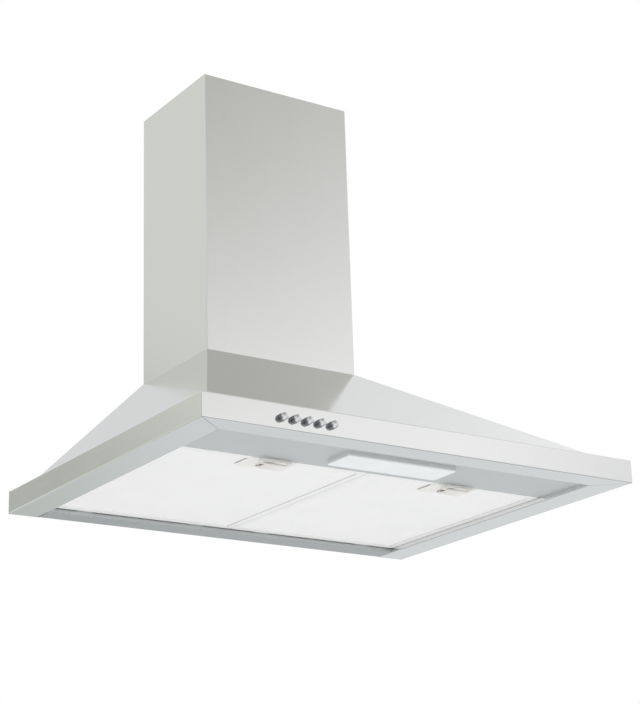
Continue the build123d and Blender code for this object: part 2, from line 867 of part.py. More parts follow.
def latch_plate(centre):
    """Plate under the filter that guides the latch, with a lug for its spring."""
    neck_half = latch_strip / 2 + 2 * slide_gap
    with BuildPart() as plate:
        with BuildSketch(Plane.XY.offset(plate_bottom)):
            with Locations((centre, (plate_front + plate_rear) / 2)):
                RectangleRounded(latch_plate_width, latch_plate_depth, 2 * bend_radius)
            slot_front = neck_rear - latch_sheet - slide_gap
            slot_rear = neck_rear + latch_travel + slide_gap
            with Locations((centre, (slot_front + slot_rear) / 2)):
                Rectangle(2 * neck_half, slot_rear - slot_front, mode=Mode.SUBTRACT)
        extrude(amount=filter_skin)
        for side in (-1, 1):
            inner = centre + side * (latch_strip / 2 + slide_gap)
            outer = inner + side * filter_skin
            block(
                (min(inner, outer), filter_front + filter_lip + slide_gap, upturn),
                (max(inner, outer), slot_front - slide_gap, latch_tongue_top + filter_skin),
            )
        block(
            (centre - lug_width / 2, lug_front, upturn),
            (centre + lug_width / 2, lug_front + filter_skin, lug_top),
        )
    return plate


def latch(centre):
    """Sliding latch: tongue, neck through the plate, and the loop that is pulled."""
    strip_line = (
        (panel_rear - sheet - tongue_reach, latch_tongue_top),
        (neck_rear, latch_tongue_top),
        (neck_rear, loop_bottom),
        (loop_rear - loop_bar / 2, loop_bottom),
    )
    strip_plane = Plane.YZ.offset(centre)
    with BuildPart() as slider:
        strip = folded(
            strip_plane, strip_line, Side.RIGHT, radius=latch_bend, thickness=latch_sheet
        )
        extrude(strip, amount=latch_strip / 2, both=True)
        with BuildSketch(Plane.XY.offset(loop_bottom)):
            with Locations((centre, loop_front + loop_depth / 2)):
                RectangleRounded(loop_width, loop_depth, loop_bar)
                inner = (loop_width - 2 * loop_bar, loop_depth - 2 * loop_bar)
                RectangleRounded(*inner, loop_bar / 2, mode=Mode.SUBTRACT)
        extrude(amount=latch_sheet)
        block(
            (centre - lug_width / 2, neck_rear - latch_bend - latch_sheet, latch_tongue_top),
            (centre + lug_width / 2, neck_rear - latch_bend, lug_top),
        )
    return slider


def latch_spring(centre):
    """Coil spring that pushes the latch forwards."""
    start = neck_rear - latch_bend + seat_gap
    end = lug_front - seat_gap
    wire = latch_spring_wire / 2
    length = end - start - 2 * wire
    axis_z = latch_tongue_top + slide_gap + latch_spring_radius + latch_spring_wire / 2
    coil = Helix(
        length / latch_spring_turns,
        length,
        latch_spring_radius,
        center=(centre, start + wire, axis_z),
        direction=(0, 1, 0),
    )
    with BuildPart() as spring:
        with BuildSketch(Plane(origin=coil @ 0, z_dir=coil % 0)):
            RegularPolygon(wire, side_count=6)
        sweep(path=coil, is_frenet=True)
    return spring


for side, suffix in ((-1, "left"), (1, "right")):
    centre = side * filter_x
    save(filter_frame(centre), f"filter_frame_{suffix}")
    save(filter_mesh(centre), f"filter_mesh_{suffix}")
    save(filter_core(centre), f"filter_core_{suffix}")
    save(latch_plate(centre), f"latch_plate_{suffix}")
    save(latch(centre), f"latch_{suffix}")
    save(latch_spring(centre), f"latch_spring_{suffix}")

# ================================================================== blower housing
scroll_end_angle = 2 * math.pi


def scroll_radius(angle):
    """Inner radius of the scroll, growing evenly from the tongue to the outlet's rear wall."""
    turned = (angle - tongue_angle) / (scroll_end_angle - tongue_angle)
    return tongue_radius + scroll_growth * turned


def scroll_point(angle, extra=0.0):
    """Point of the scroll in the YZ plane, pushed out by extra."""
    radius = scroll_radius(angle) + extra
    return (shaft_y + radius * math.cos(angle), shaft_z + radius * math.sin(angle))


def scroll_outline(extra, top):
    """Outline of the scroll and its outlet in the YZ plane, pushed out by extra."""
    step = (scroll_end_angle - tongue_angle) / scroll_steps
    angles = [tongue_angle + step * index for index in range(scroll_steps + 1)]
    points = [scroll_point(angle, extra) for angle in angles]
    outlet_rear = duct_y + outlet_depth / 2 + extra
    outlet_front = duct_y - outlet_depth / 2 - extra
    with BuildSketch(Plane.YZ) as outline:
        with BuildLine():
            curve = Spline(*points)
            Polyline(curve @ 1, (outlet_rear, top), (outlet_front, top), curve @ 0)
        make_face()
    return outline.sketch


def inlet_plane(side):
    """Plane on the outside of a side wall, centred on the shaft and facing outwards."""
    return Plane(origin=(side * scroll_side, shaft_y, shaft_z), x_dir=(0, 1, 0), z_dir=(side, 0, 0))


arm_angles = [first_arm + 360 / spider_arms * index for index in range(spider_arms)]
bush_places = [
    Plane(
        origin=(
            -scroll_side,
            shaft_y + bush_circle * math.cos(math.radians(angle)),
            shaft_z + bush_circle * math.sin(math.radians(angle)),
        ),
        x_dir=(0, 1, 0),
        z_dir=(-1, 0, 0),
    )
    for angle in arm_angles
]

boss_offset = scroll_wall + head_ratio * screw_radius + seat_gap
boss_places = [scroll_point(math.radians(angle), boss_offset) for angle in boss_angles]


def blower_housing(side):
    """One moulded half of the scroll housing, with its inlet and half of the top flange."""
    with BuildPart() as half:
        extrude(scroll_outline(scroll_wall, deck_bottom), amount=side * scroll_side)
        flange_half_width = scroll_side + flange_lip
        flange_half_depth = outlet_depth / 2 + scroll_wall + flange_lip
        block(
            (min(0, side * flange_half_width), duct_y - flange_half_depth, deck_bottom - flange_thickness),
            (max(0, side * flange_half_width), duct_y + flange_half_depth, deck_bottom),
        )
        with BuildSketch(Plane.YZ):
            with Locations(*boss_places):
                Circle(boss_radius)
        extrude(amount=side * boss_half_length)
        with BuildSketch(inlet_plane(side)):
            Circle(inlet_radius + 2 * scroll_wall)
        extrude(amount=inlet_collar)
        chamfer(
            half.faces().sort_by(Axis.X)[-1 if side > 0 else 0].edges(),
            length=scroll_wall / 2,
        )
        extrude(
            scroll_outline(0, deck_bottom),
            amount=side * scroll_half_width,
            mode=Mode.SUBTRACT,
        )
        with BuildSketch(inlet_plane(side).offset(inlet_collar)):
            Circle(inlet_radius)
        extrude(amount=-(inlet_collar + 2 * scroll_wall), mode=Mode.SUBTRACT)
        with BuildSketch(Plane.YZ):
            with Locations(*boss_places):
                Circle(screw_radius + screw_gap)
        extrude(amount=side * boss_half_length, mode=Mode.SUBTRACT)
        with BuildSketch(Plane.XY.offset(deck_bottom)):
            with Locations((0, duct_y)):
                with GridLocations(2 * fixing_x, 2 * fixing_y, 2, 2):
                    Circle(screw_radius + screw_gap)
        extrude(amount=-flange_thickness, mode=Mode.SUBTRACT)
        if side < 0:
            with Locations(*bush_places):
                Hole(screw_radius + screw_gap, depth=scroll_wall)
    return half


save(blower_housing(-1), "blower_housing_left")
save(blower_housing(1), "blower_housing_right")

with BuildPart() as housing_screws:
    boss_planes = [
        Plane(origin=(boss_half_length, y, z), x_dir=(0, 1, 0), z_dir=(1, 0, 0))
        for y, z in boss_places
    ]
    with Locations(*boss_planes):
        screw(2 * boss_half_length)
save(housing_screws, "housing_screws")

# ================================================================== impeller
shaft_axis = Plane(origin=(0, shaft_y, shaft_z), x_dir=(0, 1, 0), z_dir=(1, 0, 0))

with BuildSketch() as blade:
    with BuildLine():
        root = Vector(impeller_eye + end_ring / 2, 0)
        tip = Vector(impeller_radius - end_ring / 2, 0).rotate(Axis.Z, blade_lead)
        turn = math.degrees(blade_thickness / impeller_eye)
        face_in = SagittaArc(root, tip, blade_bow)
        face_out = SagittaArc(root.rotate(Axis.Z, turn), tip.rotate(Axis.Z, turn), blade_bow)
        Line(root, face_out @ 0)
        Line(tip, face_out @ 1)
    make_face()

with BuildPart() as impeller:
    with BuildSketch(shaft_axis.offset(-impeller_half_width)):
        with PolarLocations(0, blade_count):
            add(blade.sketch)
    extrude(amount=2 * impeller_half_width)
    for plane in (
        shaft_axis.offset(-impeller_half_width),
        shaft_axis.offset(impeller_half_width - end_ring),
    ):
        with BuildSketch(plane):
            Circle(impeller_radius)
            Circle(impeller_eye, mode=Mode.SUBTRACT)
        extrude(amount=end_ring)
    with BuildSketch(shaft_axis.offset(-disc_thickness / 2)):
        Circle(impeller_radius)
    extrude(amount=disc_thickness)
    with BuildSketch(shaft_axis):
        Circle(hub_radius)
    extrude(amount=hub_length)
    with BuildSketch(shaft_axis.offset(-disc_thickness)):
        Circle(shaft_radius)
    extrude(amount=hub_length + 2 * disc_thickness, mode=Mode.SUBTRACT)
save(impeller, "impeller")

motor_face = -disc_thickness / 2 - motor_clearance
motor_rear = -(scroll_side + bush_length)

with BuildPart() as motor_shaft:
    shaft_start = motor_rear / 2
    with BuildSketch(shaft_axis.offset(shaft_start)):
        Circle(shaft_radius)
    extrude(amount=hub_length + shaft_radius - shaft_start)
    chamfer(motor_shaft.edges().filter_by(GeomType.CIRCLE).sort_by(Axis.X)[-1], length=shaft_radius / 4)
save(motor_shaft, "motor_shaft")

# ================================================================== motor
seam_x = (motor_rear + motor_face) / 2

with BuildPart() as motor:
    with BuildSketch(Plane.XY.offset(shaft_z)):
        with BuildLine():
            Polyline(
                (motor_rear, shaft_y),
                (motor_rear, shaft_y + end_bell_radius),
                (motor_rear + end_bell_depth, shaft_y + motor_radius),
                (seam_x - seam_width / 2, shaft_y + motor_radius),
                (seam_x - seam_width / 2, shaft_y + motor_radius + seam_rise),
                (seam_x + seam_width / 2, shaft_y + motor_radius + seam_rise),
                (seam_x + seam_width / 2, shaft_y + motor_radius),
                (motor_face - end_bell_depth, shaft_y + motor_radius),
                (motor_face, shaft_y + end_bell_radius),
                (motor_face, shaft_y + shaft_radius + running_gap),
                (shaft_start - shaft_radius, shaft_y + shaft_radius + running_gap),
                (shaft_start - shaft_radius, shaft_y),
                close=True,
            )
        make_face()
    revolve(axis=Axis((0, shaft_y, shaft_z), (1, 0, 0)))
    with BuildSketch(shaft_axis.offset(motor_rear)):
        with PolarLocations((end_bell_radius + shaft_radius) / 2 + shaft_radius, vent_count):
            SlotOverall(end_bell_radius / 2, 2 * shaft_radius)
    extrude(amount=end_bell_depth / 2, mode=Mode.SUBTRACT)
save(motor, "motor")

arm_places = [place.offset(bush_length + spider_thickness) for place in bush_places]
spider_plane = Plane(origin=(motor_rear, shaft_y, shaft_z), x_dir=(0, 1, 0), z_dir=(-1, 0, 0))

with BuildPart() as motor_bracket:
    with BuildSketch(spider_plane):
        Circle(spider_hub)
        for angle in arm_angles:
            reach = bush_circle / 2
            direction = Vector(1, 0).rotate(Axis.Z, -angle)
            with Locations((reach * direction.X, reach * direction.Y)):
                SlotCenterToCenter(bush_circle, spider_arm, rotation=-angle)
        Circle(spider_hub / 2, mode=Mode.SUBTRACT)
    extrude(amount=spider_thickness)
    with Locations(*arm_places):
        Hole(screw_radius + screw_gap, depth=spider_thickness)
save(motor_bracket, "motor_bracket")

with BuildPart() as motor_bushes:
    with Locations(*bush_places):
        Cylinder(bush_radius, bush_length, align=(Align.CENTER, Align.CENTER, Align.MIN))
        Cylinder(
            screw_radius + screw_gap,
            bush_length,
            align=(Align.CENTER, Align.CENTER, Align.MIN),
            mode=Mode.SUBTRACT,
        )
save(motor_bushes, "motor_bushes")

with BuildPart() as motor_screws:
    with Locations(*arm_places):
        screw(spider_thickness + bush_length + scroll_wall)
save(motor_screws, "motor_screws")

# ================================================================== electrics
capacitor_y = -(sheet + clip_sheet + capacitor_radius)

with BuildPart() as capacitor:
    with BuildSketch(Plane.XY.offset(capacitor_z)):
        with Locations((capacitor_x, capacitor_y)):
            Circle(capacitor_radius)
    extrude(amount=capacitor_length)
    chamfer(capacitor.edges().filter_by(GeomType.CIRCLE), length=1)
save(capacitor, "capacitor")

with BuildPart() as capacitor_tabs:
    with BuildSketch(Plane.XY.offset(capacitor_z + capacitor_length)):
        with Locations((capacitor_x, capacitor_y)):
            with GridLocations(capacitor_radius, 1, 2, 1):
                Rectangle(tab_width, tab_sheet)
    extrude(amount=tab_height)
    with BuildSketch(Plane.XZ.offset(-capacitor_y)):
        with Locations((capacitor_x, capacitor_z + capacitor_length + tab_height - tab_width / 2)):
            with GridLocations(capacitor_radius, 1, 2, 1):
                Circle(tab_width / 6)
    extrude(amount=tab_width, both=True, mode=Mode.SUBTRACT)
save(capacitor_tabs, "capacitor_tabs")

clip_z = capacitor_z + (capacitor_length - clip_height) / 2
clip_screw_x = capacitor_x + capacitor_radius + clip_foot / 2

with BuildPart() as capacitor_clip:
    with BuildSketch(Plane.XY.offset(clip_z)):
        with Locations((capacitor_x, capacitor_y)):
            Circle(capacitor_radius + clip_sheet)
        with Locations((capacitor_x + (capacitor_radius + clip_foot) / 2, -sheet - clip_sheet / 2)):
            Rectangle(capacitor_radius + clip_foot, clip_sheet)
        with Locations((capacitor_x, capacitor_y)):
            Circle(capacitor_radius, mode=Mode.SUBTRACT)
    extrude(amount=clip_height)
    clip_screw = Plane(
        origin=(clip_screw_x, -sheet - clip_sheet, clip_z + clip_height / 2),
        x_dir=(1, 0, 0),
        z_dir=(0, -1, 0),
    )
    with Locations(clip_screw):
        Hole(screw_radius + screw_gap, depth=clip_sheet)
save(capacitor_clip, "capacitor_clip")

box_screws = [
    Plane(origin=(box_x + offset_x, -sheet - box_wall, box_z), x_dir=(1, 0, 0), z_dir=(0, -1, 0))
    for offset_x in (-box_width / 4, box_width / 4)
]

with BuildPart() as wiring_box:
    with BuildSketch(Plane.XZ.offset(sheet)):
        with Locations((box_x, box_z)):
            RectangleRounded(box_width, box_height, 2 * box_wall)
    extrude(amount=box_depth)
    offset(amount=-box_wall, openings=wiring_box.faces().sort_by(Axis.Y)[0])
    with Locations(*box_screws):
        Hole(screw_radius + screw_gap, depth=2 * box_wall)
save(wiring_box, "wiring_box")

with BuildPart() as wiring_box_lid:
    with BuildSketch(Plane.XZ.offset(sheet + box_depth)):
        with Locations((box_x, box_z)):
            RectangleRounded(box_width, box_height, 2 * box_wall)
    extrude(amount=box_wall)
    with BuildSketch(Plane.XZ.offset(sheet + box_depth)):
        with Locations((box_x, box_z)):
            inner = (box_width - 2 * box_wall - 2 * seat_gap, box_height - 2 * box_wall - 2 * seat_gap)
            RectangleRounded(*inner, box_wall)
    extrude(amount=-box_wall)
save(wiring_box_lid, "wiring_box_lid")

with BuildPart() as back_panel_screws:
    with Locations(clip_screw):
        screw(clip_sheet)
    with Locations(*box_screws):
        screw(box_wall)
save(back_panel_screws, "back_panel_screws")

# ================================================================== duct spigot
spigot_inner = spigot_radius - spigot_wall
spigot_top = canopy_height + spigot_height
pin_z = canopy_height + spigot_plate + flap_pin_height
ledge_top = pin_z - flap_thickness / 2 - slide_gap

with BuildPart() as duct_spigot:
    with BuildSketch(Plane.XY.offset(canopy_height)):
        with Locations((0, duct_y)):
            RectangleRounded(spigot_plate_width, spigot_plate_depth, 2 * flange_thickness)
    extrude(amount=spigot_plate)
    with BuildSketch(Plane.XZ.offset(-duct_y)):
        with BuildLine():
            Polyline(
                (0, canopy_height),
                (spigot_radius, canopy_height),
                (spigot_radius, spigot_top - 2 * spigot_lead_in),
                (spigot_radius - spigot_lead_in, spigot_top),
                (0, spigot_top),
                close=True,
            )
        make_face()
    revolve(axis=Axis((0, duct_y, 0), (0, 0, 1)))
    with BuildSketch(Plane.XY.offset(canopy_height)):
        with Locations((0, duct_y)):
            Circle(spigot_inner - flap_ledge)
    extrude(amount=ledge_top - canopy_height, mode=Mode.SUBTRACT)
    with BuildSketch(Plane.XY.offset(ledge_top)):
        with Locations((0, duct_y)):
            Circle(spigot_inner)
    extrude(amount=spigot_height, mode=Mode.SUBTRACT)
    with BuildSketch(Plane.XY.offset(canopy_height)):
        with Locations((0, duct_y)):
            with GridLocations(2 * fixing_x, 2 * fixing_y, 2, 2):
                Circle(screw_radius + screw_gap)
    extrude(amount=spigot_plate, mode=Mode.SUBTRACT)
    with BuildSketch(Plane.YZ):
        with Locations((duct_y, pin_z)):
            Circle(flap_pin_radius)
    extrude(amount=spigot_radius, both=True, mode=Mode.SUBTRACT)
save(duct_spigot, "duct_spigot")

with BuildPart() as deck_screws:
    with Locations(Plane.XY.offset(canopy_height + spigot_plate)):
        with Locations((0, duct_y)):
            with GridLocations(2 * fixing_x, 2 * fixing_y, 2, 2):
                screw(spigot_plate + sheet + flange_thickness)
save(deck_screws, "deck_screws")

with BuildPart() as flap_pin:
    with BuildSketch(Plane.YZ):
        with Locations((duct_y, pin_z)):
            Circle(flap_pin_radius)
    extrude(amount=spigot_radius, both=True)
save(flap_pin, "flap_pin")

with BuildPart() as flap_front:
    flap_edge = knuckle_radius + slide_gap
    with BuildSketch(Plane.XY.offset(pin_z - flap_thickness / 2)):
        with Locations((0, duct_y)):
            Circle(spigot_inner - flap_edge_gap)
        with Locations((0, duct_y - flap_edge + spigot_radius)):
            Rectangle(2 * spigot_radius, 2 * spigot_radius, mode=Mode.SUBTRACT)
        for start in (-2 * knuckle_length, 0):
            with Locations((start + knuckle_length / 2, duct_y - flap_edge / 2)):
                Rectangle(knuckle_length - knuckle_gap, flap_edge)
    extrude(amount=flap_thickness)
    for start in (-2 * knuckle_length, 0):
        with BuildSketch(Plane.YZ.offset(start + knuckle_gap / 2)):
            with Locations((duct_y, pin_z)):
                Circle(knuckle_radius)
        extrude(amount=knuckle_length - knuckle_gap)
    with BuildSketch(Plane.YZ):
        with Locations((duct_y, pin_z)):
            Circle(flap_pin_radius + running_gap)
    extrude(amount=spigot_radius, both=True, mode=Mode.SUBTRACT)
save(flap_front, "flap_front")

with BuildPart() as flap_rear:
    add(flap_front.part.rotate(Axis((0, duct_y, 0), (0, 0, 1)), 180))
save(flap_rear, "flap_rear")
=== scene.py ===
"""Looks of a wall-mounted chimney range hood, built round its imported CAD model.

The hood stands in the model's own frame, in metres: +X to the right, +Y into the wall, +Z up.
Each sub-assembly is a class that makes its meshes and dresses them, and each finish is a
frozen dataclass that makes one material.
"""

from __future__ import annotations

import json
import logging
import math
from collections.abc import Callable, Sequence
from dataclasses import dataclass
from enum import Enum
from functools import cache, partial
from typing import ClassVar

import bmesh
import bpy
from bpy.types import Material, Node, NodeSocket, NodeTree, Object
from mathutils import Matrix, Vector

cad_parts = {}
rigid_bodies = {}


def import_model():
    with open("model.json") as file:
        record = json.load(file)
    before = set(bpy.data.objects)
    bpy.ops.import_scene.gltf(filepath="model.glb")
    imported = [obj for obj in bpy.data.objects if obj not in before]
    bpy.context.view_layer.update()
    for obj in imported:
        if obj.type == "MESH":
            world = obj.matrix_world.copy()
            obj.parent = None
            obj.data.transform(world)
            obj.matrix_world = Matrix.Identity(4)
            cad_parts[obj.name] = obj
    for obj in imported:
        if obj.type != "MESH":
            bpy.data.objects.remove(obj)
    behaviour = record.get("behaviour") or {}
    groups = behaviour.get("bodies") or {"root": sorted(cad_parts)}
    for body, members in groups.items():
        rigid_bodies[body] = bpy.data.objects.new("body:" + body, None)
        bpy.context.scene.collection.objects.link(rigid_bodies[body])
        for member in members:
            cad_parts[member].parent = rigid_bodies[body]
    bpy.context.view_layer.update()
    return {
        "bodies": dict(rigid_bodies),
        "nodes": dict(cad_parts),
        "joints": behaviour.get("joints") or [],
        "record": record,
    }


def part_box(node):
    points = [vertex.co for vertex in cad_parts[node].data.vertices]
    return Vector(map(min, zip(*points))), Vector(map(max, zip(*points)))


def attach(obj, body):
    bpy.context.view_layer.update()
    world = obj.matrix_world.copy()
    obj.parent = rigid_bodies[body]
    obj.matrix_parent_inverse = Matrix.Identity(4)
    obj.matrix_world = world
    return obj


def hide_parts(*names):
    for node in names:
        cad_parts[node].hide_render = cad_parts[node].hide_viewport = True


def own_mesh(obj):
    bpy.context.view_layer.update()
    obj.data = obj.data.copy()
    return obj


LOG = logging.getLogger("range_hood")
MM = 0.001

# What fills a node's inputs, by the index, identifier or name of each: a constant, an output, a
# node, which stands for its first open output, or a list of these where an input takes several.
Inputs = dict[str | int, object]

# The call that adds a node to one tree, as add_node does.
Adder = Callable[..., Node]


# ---------------------------------------------------------------------- small helpers
def linear(hex_colour: str) -> tuple[float, float, float, float]:
    """Turns an sRGB hex colour to linear light.

    Args:
        hex_colour: six hex digits, such as "d8dadb".

    Returns:
        Red, green, blue and an alpha of 1.
    """
    channels = [int(hex_colour[i : i + 2], 16) / 255 for i in (0, 2, 4)]
    light = [c / 12.92 if c <= 0.04045 else ((c + 0.055) / 1.055) ** 2.4 for c in channels]
    return (light[0], light[1], light[2], 1.0)


def towards(azimuth: float, elevation: float) -> Vector:
    """Finds a direction from its angles in degrees.

    Args:
        azimuth: turn from +Y towards +X.
        elevation: lift above the level.

    Returns:
        The unit vector.
    """
    turn, lift = math.radians(azimuth), math.radians(elevation)
    level = math.cos(lift)
    return Vector((math.sin(turn) * level, math.cos(turn) * level, math.sin(lift)))


def add_node(tree: NodeTree, kind: str, inputs: Inputs | None = None, **settings: object) -> Node:
    """Adds a node with its settings, constants and links.

    Args:
        tree: the node tree that gets the node.
        kind: Blender's type name for the node.
        inputs: what fills the node's inputs.
        settings: the node's own properties.

    Returns:
        The new node.
    """
    node = tree.nodes.new(kind)
    for name, setting in settings.items():
        setattr(node, name, setting)
    for key, filling in (inputs or {}).items():
        identified = [socket for socket in node.inputs if socket.identifier == key]
        target = identified[0] if identified else node.inputs[key]
        for source in filling if isinstance(filling, list) else [filling]:
            if isinstance(source, Node):
                source = next(outlet for outlet in source.outputs if outlet.enabled)
            if isinstance(source, NodeSocket):
                tree.links.new(source, target)
            else:
                target.default_value = source
    return node


def mapped(value: object, span: tuple[float, float], result: tuple[float, float]) -> Inputs:
    """Lays out the inputs of a Map Range node.

    Args:
        value: what is mapped.
        span: the values that are turned into the ends of the result.
        result: the two ends of the result.

    Returns:
        The node's inputs.
    """
    ends = zip(("From Min", "From Max", "To Min", "To Max"), (*span, *result))
    return {"Value": value, **dict(ends)}


def new_material(name: str) -> tuple[Material, Adder]:
    """Makes an empty node material.

    Args:
        name: the material's name.

    Returns:
        The material and the call that adds a node to it.
    """
    material = bpy.data.materials.new(name)
    material.use_nodes = True
    material.node_tree.nodes.clear()
    return material, partial(add_node, material.node_tree)


# ---------------------------------------------------------------------- finishes
# The whole of a factor, the part of a noise that holds nearly all its values, and the middle.
WHOLE_SPAN = (0.0, 1.0)
NOISE_SPAN = (0.3, 0.7)
NOISE_MIDDLE = (0.35, 0.65)


class Grain(Enum):
    """Direction in which a brushed sheet's lines run."""

    ACROSS = (1, 0, 0)
    INTO_WALL = (0, 1, 0)
    UPRIGHT = (0, 0, 1)


@dataclass(frozen=True)
class Finish:
    """One finish, which makes one material."""

    name: str

    @cache
    def material(self) -> Material:
        """Makes the material at its first use, with patterns on Object coordinates.

        Returns:
            This finish's one material.
        """
        material, add = new_material(self.name)
        place = add("ShaderNodeTexCoord").outputs["Object"]
        shader = add("ShaderNodeBsdfPrincipled", self.surface(add, place))
        add("ShaderNodeOutputMaterial", {"Surface": shader})
        return material

    def surface(self, add: Adder, place: NodeSocket) -> Inputs:
        """Draws the finish's patterns.

        Args:
            add: the call that adds a node to the material.
            place: the output that gives the place on the piece.

        Returns:
            The inputs of the principled surface.
        """
        raise NotImplementedError

    @staticmethod
    def toned(
        add: Adder, colour: str, pattern: object, span: tuple[float, float], change: float
    ) -> Node:
        """Darkens a colour by a pattern.

        Args:
            add: the call that adds a node to the material.
            colour: sRGB hex colour where the pattern is highest.
            pattern: the node or output that gives the pattern.
            span: the pattern's values at the darkest and the lightest tone.
            change: share of the colour that the darkest tone lacks.

        Returns:
            The node that hands out the toned colour.
        """
        tone = add("ShaderNodeMapRange", mapped(pattern, span, (1 - change, 1.0)))
        return add(
            "ShaderNodeMix",
            {"Factor_Float": 1.0, "A_Color": linear(colour), "B_Color": tone},
            data_type="RGBA",
            blend_type="MULTIPLY",
        )


@dataclass(frozen=True)
class BrushedSteel(Finish):
    """Stainless steel sheet, belt ground: fine parallel lines with a soft, clear reflection.

    The real lines are about 0.1 mm wide. They are drawn 0.5 mm wide so that they show.
    """

    colour: str
    grain: Grain
    roughness: tuple[float, float] = (0.09, 0.16)
    line_width_mm: float = 0.5
    line_length_mm: float = 70.0
    line_depth_mm: float = 0.0035
    line_strength: float = 0.35
    line_tone: float = 0.035
    cloud_size_mm: float = 90.0
    cloud_change: tuple[float, float] = (0.9, 1.12)

    def surface(self, add: Adder, place: NodeSocket) -> Inputs:
        """Draws lines stretched along the grain, and wide clouds that change their gloss.

        Args:
            add: the call that adds a node to the material.
            place: the output that gives the place on the piece.

        Returns:
            The inputs of the principled surface.
        """
        across, along = 1 / (self.line_width_mm * MM), 1 / (self.line_length_mm * MM)
        scale = tuple(along if axis else across for axis in self.grain.value)
        stretched = add("ShaderNodeMapping", {"Scale": scale, "Vector": place})
        lines = add(
            "ShaderNodeTexNoise",
            {"Scale": 1.0, "Detail": 3.0, "Roughness": 0.6, "Vector": stretched},
        )
        cloud_scale = 1 / (self.cloud_size_mm * MM)
        clouds = add(
            "ShaderNodeTexNoise", {"Scale": cloud_scale, "Detail": 2.0, "Vector": place}
        )
        scored = add("ShaderNodeMapRange", mapped(lines, NOISE_SPAN, self.roughness))
        dulled = add("ShaderNodeMapRange", mapped(clouds, NOISE_MIDDLE, self.cloud_change))
        depth = self.line_depth_mm * MM
        return {
            "Metallic": 1.0,
            "Base Color": self.toned(add, self.colour, lines, NOISE_SPAN, self.line_tone),
            "Roughness": add("ShaderNodeMath", {0: scored, 1: dulled}, operation="MULTIPLY"),
            "Normal": add(
                "ShaderNodeBump",
                {"Strength": self.line_strength, "Distance": depth, "Height": lines},
            ),
        }


@dataclass(frozen=True)
class ZincCoatedSheet(Finish):
    """Hot-dip galvanised sheet: dull grey zinc whose crystals show as faint patches."""

    colour: str
    roughness: tuple[float, float] = (0.34, 0.5)
    metallic: float = 0.9
    spangle_mm: float = 11.0
    spangle_tone: float = 0.14
    border_wobble: float = 0.004

    def surface(self, add: Adder, place: NodeSocket) -> Inputs:
        """Draws crystals with wavering borders, each of its own tone and gloss.

        Args:
            add: the call that adds a node to the material.
            place: the output that gives the place on the piece.

        Returns:
            The inputs of the principled surface.
        """
        scale = 1 / (self.spangle_mm * MM)
        wobble = add("ShaderNodeTexNoise", {"Scale": 2 * scale, "Detail": 2.0, "Vector": place})
        bent = add(
            "ShaderNodeMix",
            {
                "Factor_Float": self.border_wobble,
                "A_Vector": place,
                "B_Vector": wobble.outputs["Color"],
            },
            data_type="VECTOR",
        )
        crystals = add("ShaderNodeTexVoronoi", {"Scale": scale, "Vector": bent}).outputs["Color"]
        return {
            "Metallic": self.metallic,
            "Base Color": self.toned(add, self.colour, crystals, WHOLE_SPAN, self.spangle_tone),
            "Roughness": add("ShaderNodeMapRange", mapped(crystals, WHOLE_SPAN, self.roughness)),
        }


@dataclass(frozen=True)
class Coating(Finish):
    """A skin with a fine, even texture: enamel, moulded plastic, rubber or a plated metal.

    The texture is the grit of the mould, the orange peel of a paint or the pores of a plating.
    Wide patches, each of many such grains, change its tone and gloss a little.
    """

    colour: str
    roughness: float
    metallic: float = 0.0
    coat: float = 0.0
    transmission: float = 0.0
    texture_mm: float = 0.6
    texture_depth_mm: float = 0.004
    texture_strength: float = 0.4
    patch_grains: float = 60.0
    patch_tone: float = 0.04
    patch_change: tuple[float, float] = (0.92, 1.1)
    ior: float = 1.5

    def surface(self, add: Adder, place: NodeSocket) -> Inputs:
        """Draws the fine texture and the wide patches.

        Args:
            add: the call that adds a node to the material.
            place: the output that gives the place on the piece.

        Returns:
            The inputs of the principled surface.
        """
        scale = 1 / (self.texture_mm * MM)
        grit = add("ShaderNodeTexNoise", {"Scale": scale, "Detail": 2.0, "Vector": place})
        patches = add(
            "ShaderNodeTexNoise",
            {"Scale": scale / self.patch_grains, "Detail": 3.0, "Vector": place},
        )
        gloss = tuple(change * self.roughness for change in self.patch_change)
        depth = self.texture_depth_mm * MM
        inputs = {
            "Metallic": self.metallic,
            "Coat Weight": self.coat,
            "Transmission Weight": self.transmission,
            "Base Color": self.toned(add, self.colour, patches, NOISE_SPAN, self.patch_tone),
            "Roughness": add("ShaderNodeMapRange", mapped(patches, NOISE_SPAN, gloss)),
            "Normal": add(
                "ShaderNodeBump",
                {"Strength": self.texture_strength, "Distance": depth, "Height": grit},
            ),
        }
        if not self.metallic:
            inputs["IOR"] = self.ior
        return inputs


